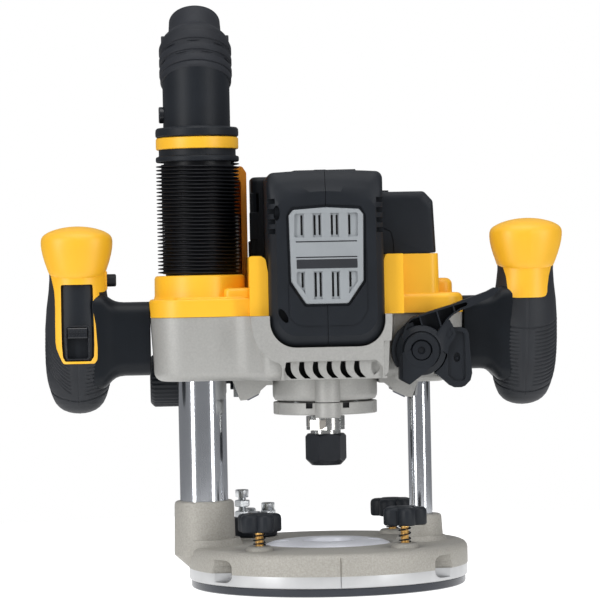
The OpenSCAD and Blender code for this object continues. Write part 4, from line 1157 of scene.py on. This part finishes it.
def make_handles():
    left = piece("left_handle_grip", [grip_surface(LEFT_X, 14, 136, False)], "carriage", SLATE_SOFT,
                 ["left_handle_outer", "left_handle_inner"], "grip_rubber", ride=False)
    cut(left, panel(LEFT_X, -10.9, 10.9, 138.2, 191.4, 4, -30, -11))
    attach(left, "carriage")
    piece("right_handle_grip", [leaning(grip_surface(RIGHT_X, 0, 152.3))], "carriage", SLATE_SOFT,
          ["right_handle_outer", "right_handle_inner"], "grip_rubber")
    # The arms take the darker copy of the slate plastic: painted shade.
    piece("left_handle_stub", [grip_stub(LEFT_X, 1, -105 - LEFT_X)], "carriage", SHADED_STUB, slot="grip_rubber",
          bevel=0.6)
    piece("right_handle_stub", [leaning(grip_stub(RIGHT_X, -1, RIGHT_X - 84))], "carriage", SHADED_STUB,
          slot="grip_rubber", bevel=0.6)
    piece("handle_crowns", [crown_part(LEFT_X, 2.8), leaning(crown_part(RIGHT_X, 2.2))], "carriage", YELLOW,
          angle=40)
    tongue = [(171.0, -6.5, 6.5), (171.15, -8.6, 8.6), (171.6, -10.3, 10.3), (172.4, -11.4, 11.4),
              (174, -11.9, 11.9), (178, -12.2, 12.2), (184, -13.0, 13.0), (189, -14.4, 14.4),
              (192, -15.2, 15.2)]
    piece("right_crown_tongue", [leaning(wrapped(RIGHT_X, tongue, 0.55, -4))], "carriage", YELLOW,
          slot="yellow_plastic", bevel=0.35)
    rows = [(136.8, -8.2, 9.7), (137.2, -8.8, 10.3), (138.5, -9.6, 11.2), (142, -11.2, 12.5),
            (146, -12.7, 13.3), (150, -13.3, 13.6), (160, -13.3, 13.5), (168, -13.2, 13.3),
            (176, -13.3, 13.2), (180, -13.6, 13.4), (184, -14.3, 14.2), (188, -15.3, 15.3),
            (191, -15.9, 15.9)]
    bezel = piece("switch_bezel", [wrapped(LEFT_X, rows, 0.6, -4)], "carriage", YELLOW,
                  slot="yellow_plastic", ride=False)
    opening = [(-7.6, 138.2), (7.8, 138.2), (9.6, 141), (10.0, 148), (9.9, 160), (9.5, 184.2),
               (-9.6, 184.2), (-9.6, 160), (-9.5, 148), (-9.0, 141)]
    hole = [(LEFT_X + x, z) for x, z in soften(opening, [1, 1, 1.5, 2, 2, 1.2, 1.2, 2, 2, 1.5])]
    cut(bezel, slab_y(hole, -40, 0))
    settle(bezel, "carriage", 0.35, 3, 40)
    skirt = [(179.4, 11.5, 15.4), (179.8, 11.0, 16.6), (181, 10.6, 17.2), (186, 10.4, 17.3),
             (191.4, 10.4, 17.4)]
    tab = slab_y(soften([(LEFT_X + 12, 179.8), (LEFT_X + 16.6, 179.8), (LEFT_X + 17.9, 181.2),
                         (LEFT_X + 17.9, 192), (LEFT_X + 12, 193)], [1, 1.4, 1.6, 1, 1]), -5, 8)
    piece("button_tab", [wrapped(LEFT_X, skirt, 0.6, 3), tab], "carriage", YELLOW, slot="yellow_plastic",
          bevel=0.5)
    rows = [(138.6, -10.6, 10.6), (146, -10.7, 10.7), (155, -10.7, 10.7), (165, -10.6, 10.6),
            (175, -10.6, 10.6), (185.6, -10.6, 10.6)]
    insert = piece("switch_unit", [wrapped(LEFT_X, rows, -1.3, -11.4)], "carriage", SLATE, ride=False)
    cut(insert, panel(LEFT_X, -6.4, 6.4, 139.6, 158.9, 1.6, -30, -14.6))
    settle(insert, "carriage", 0.3, 3, 40)
    ring = panel(LEFT_X, -7.1, 7.1, 139.0, 159.6, 2, -19.6, -17)
    frame_ring = piece("switch_frame", [ring], "carriage", GLOSS, slot="dark_plastic", ride=False)
    cut(frame_ring, panel(LEFT_X, -6.2, 6.2, 139.8, 158.7, 1.4, -30, -10))
    settle(frame_ring, "carriage", 0.3, 3, 40)
    profile = [(-15.6, 151.9), (-20.0, 151.9), (-20.7, 152.7), (-20.2, 155.2), (-20.5, 157.6),
               (-19.9, 158.4), (-15.6, 158.4)]
    slider = slab_x(soften(profile, [0.1, 0.8, 0.8, 1.5, 0.7, 0.7, 0.1]), LEFT_X - 5.8, LEFT_X + 5.8)
    dots = []
    for i in range(6):
        for j in range(2):
            x, z = LEFT_X - 4.2 + i * 1.68, 154.0 + j * 1.7
            dots.append(rod_y(x, z, 0.42, -20.75, -19.8, 8))
    piece("power_switch", [slider] + dots, "power_switch", GLOSS, bevel=0.2, segments=2)
    rows = [(11, 3.8), (22.6, 3.8), (23.1, 3.6), (23.4, 2.9)]
    sections = [[(LEFT_X + x, y, z) for y, z in oval(0, 186.4, r, r, 40)] for x, r in rows]
    piece("handle_button", [loft(sections)], "handle_button", SLATE)


# ---------------------------------------------------------------- plunge-lock lever

def turned_y(profile, segments=72):
    """Revolves (radius, y) points round the lever's pivot."""
    return loft([[(x, y, z) for x, z in oval(HUB_X, HUB_Z, r, r, segments)] for r, y in profile])


def from_hub(points):
    return [(HUB_X + x, HUB_Z + z) for x, z in points]


def make_lever():
    hub = turned_y([(14.9, -24.1), (15.1, -34.4), (14.8, -35.0), (11.5, -36.8), (11.2, -36.2),
                    (10.9, -36.2), (10.6, -37.6), (10.2, -38.0), (9.6, -37.9), (6.7, -37.6), (6.4, -37.2),
                    (6.3, -34.4)])
    shroud = slab_y(from_hub([(0, 0)] + arc(0, 0, 17.5, 105, 215, 20)), -33.5, -26)
    flank = slab_y(from_hub(soften([(-13.3, -2), (-13.3, -17.1), (-7.4, -20.4), (4, -12), (0, 0)],
                                   [1, 0.8, 0.8, 1, 1])), -36.0, -27)
    tail = slab_y(from_hub(soften([(-11.5, -1), (-11.5, -17.0), (-7.3, -19.8), (0, -14.6), (8.6, -7.2),
                                   (4, 3)], [1, 0.8, 0.8, 3, 2, 1])), -37.9, -27)
    outline = [(-11.5, 8), (-9.6, 13.4), (-8.2, 16.4), (-5.3, 19.2), (1.2, 21.7), (9.9, 24.4), (18.7, 26.9),
               (26.1, 29.6), (35.3, 32.7), (40, 34.3), (44.5, 36.6), (47.0, 36.4), (46.6, 34.6),
               (43.6, 31.7), (35.3, 27.7), (29.3, 25.0), (23.8, 23.2), (19.6, 20.8), (16.2, 17.6), (12, 10),
               (0, 0)]
    lever = piece("plunge_lever", [slab_y(from_hub(soften(outline[::-1], 0.9, 3)), -36, -26)], "lever",
                  SLATE, ride=False)
    hollow = [(-9.0, 12.8), (-7.2, 16.8), (-4.6, 18.8), (1.2, 20.5), (9.9, 23.2), (18.7, 25.8),
              (27.2, 28.2), (28.4, 27.4), (27.4, 26.0), (23.4, 24.4), (19.4, 21.9), (15.6, 18.6),
              (12.2, 13.9), (9.6, 10.5), (0, 6)]
    cut(lever, slab_y(from_hub(soften(hollow[::-1], 0.6, 3)), -40, -28.2))
    ribs = []
    for (x0, z0), (x1, z1) in (((-1.2, 21.0), (0.4, 14.8)), ((9.0, 24.0), (12.0, 13.0)),
                               ((19.0, 26.6), (20.2, 22.0))):
        ribs.append(slab_y(from_hub([(x0, z0), (x1, z1), (x1 + 0.9, z1), (x0 + 0.9, z0)]), -35.6, -26))
    wing = [(9.0, 8.6), (12.2, 13.8), (16.2, 17.9), (17.1, 18.1), (19.2, 14.3), (21.0, 9.2), (19.6, 6.4),
            (16.4, 2.3), (15.7, -2.6), (12, 0)]
    tab = slab_y(from_hub([(8, 9), (8, -9), (26, -12), (26, 9)]), -25.6, -24.1)
    cut(lever, *ribs, slab_y(from_hub(soften(wing[::-1], 0.5, 3)), -36.2, -34.3), tail, flank, shroud, hub,
        tab, union=True)
    cut(lever, turned_y([(6.1, -50), (6.1, -34.2)]), turned_y([(3.1, -50), (3.1, -20)]))
    diamond = [(14.6, 8.6), (17.4, 13.6), (19.0, 9.4), (16.8, 6.4)]
    cut(lever, slab_y(from_hub(soften(diamond[::-1], 0.4, 3)), -40, -35.7))
    settle(lever, "lever", 0.35, 3, 32)
    plate = [(17.6, 13.2), (24.2, 13.4), (27.5, 12), (28.8, 9.2), (30.4, -14.3), (29.3, -18.5),
             (26.1, -21.7), (23.8, -22.6), (19.6, -22.6), (16.8, -21.2), (10.4, -15.4), (7.6, -13.9),
             (12.6, -9.4), (15.4, -4), (15.4, 4), (13.4, 9)]
    paddle = piece("lever_paddle", [slab_y(from_hub(soften(plate[::-1], 0.9, 4)), -34.0, -25.9)], "lever",
                   SLATE, ride=False)
    inner = [(15.9, 9), (22.6, 10.8), (25.6, 10.2), (26.4, 8.6), (26.6, -16.6), (25.4, -18.6),
             (20.0, -18.9), (16.0, -15.4)]
    cut(paddle, slab_y(from_hub(soften(inner[::-1], 1.0)), -40, -32.4))
    cut(paddle, slab_y(from_hub(oval(21.5, -4.6, 2.0, 2.9, 24)), -34, -30.6))
    settle(paddle, "lever", 0.45, 3, 32)
    rows = [(1.1, -30.7), (1.1, -31.5), (0.8, -31.8), (0.5, -31.5)]
    pin = loft([[(x, y, z) for x, z in oval(HUB_X + 21.7, HUB_Z - 5.1, r, r, 24)] for r, y in rows])
    piece("paddle_pin", [pin], "lever", GLOSS, slot="black_plastic")
    screw = turned_y([(2.9, -13.2), (2.9, -34.3), (5.7, -34.4), (5.8, -37.0), (5.4, -37.5), (2.3, -37.6),
                      (2.0, -37.1), (1.9, -36.0)])
    piece("lever_screw", [screw], "carriage", BLACK_STEEL)


# ---------------------------------------------------------------- collet end and depth gauge

def make_spindle():
    rows = [(6.9, 110), (6.9, 101.8), (11.3, 101.7), (11.7, 101.3), (11.7, 95.6), (9.4, 93.6), (9.1, 93.3),
            (9.1, 90.2)]
    collar = lathe([(0, 110)] + rows + [(7.0, 90.2), (7.0, 98), (0, 98)], segments=96)
    spindle = piece("spindle_collar", [collar], "spindle", GROUND, slot="polished_steel", ride=False)
    across = Matrix.Rotation(math.radians(-34), 4, "Z")
    flat = moved(block((-20, -16, 92), (20, -9.9, 101.2)), across)
    cut(spindle, flat, slab_y(oval(9.0, 100.4, 1.8, 2.2, 32), -14, -3))
    settle(spindle, "spindle", 0.2, 2, 32)
    face = soften([(-6.1, 101.0), (6.1, 101.0), (6.1, 95.4), (3.4, 93.7), (-3.4, 93.7), (-6.1, 95.4)][::-1],
                  [1, 1.5, 1.5, 1, 0.3, 0.3])
    piece("spindle_flat", [moved(slab_y(face, -10.1, -9.7), across)], "spindle", FLAT_STEEL,
          slot="polished_steel")
    nut_turn = math.radians(9.5)
    sections = []
    for step in range(39):
        z = 72 + step * 0.5
        limit = min(8.9 + (z - 72), 12.75, 11.0 + (91 - z) * 1.1)
        ring = []
        for k in range(120):
            t = 2 * math.pi * k / 120 + nut_turn
            phase = (2 * math.pi * k / 120 + math.pi / 6) % (math.pi / 3) - math.pi / 6
            r = min(11.0 / math.cos(math.pi / 6 - abs(phase)), limit)
            ring.append((r * math.cos(t), r * math.sin(t), z))
        sections.append(ring)
    nut = piece("collet_nut", [loft(sections)], "collet_nut", BLACK_STEEL, ride=False, angle=25)
    cut(nut, lathe([(0, 60), (8.1, 60), (7.3, 73), (7.3, 120), (0, 120)], segments=64))
    smooth(nut, 25)
    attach(nut, "collet_nut")


def make_depth_knob():
    sections = []
    for x, r, ribbed in ((-88.0, 15.4, 0), (-88.6, 16.2, 1), (-103.2, 16.2, 1), (-104.6, 15.2, 0.6),
                         (-105.6, 14.2, 0), (-106, 13.2, 0)):
        ring = []
        for k in range(180):
            a = 2 * math.pi * k / 180
            rr = r + ribbed * 0.28 * math.cos(36 * a)
            ring.append((x, KNOB_Y + rr * math.cos(a), KNOB_Z + rr * math.sin(a)))
        sections.append(ring)
    shaft = rod_x(KNOB_Y, KNOB_Z, 3, -89, -46, 32)
    pinion = []
    for k in range(12):
        a = math.radians(30 * k)
        pinion += [(r, a + d) for r, d in ((4.5, -0.17), (6.7, -0.06), (6.7, 0.06), (4.5, 0.17))]
    gear = slab_x([(KNOB_Y + r * math.cos(a), KNOB_Z + r * math.sin(a)) for r, a in pinion], -56.5, -46.5)
    piece("depth_knob", [loft(sections), shaft, gear], "depth_knob", SLATE, bevel=0.25, segments=2,
          angle=40)


make_handles()
make_lever()
make_spindle()
make_depth_knob()
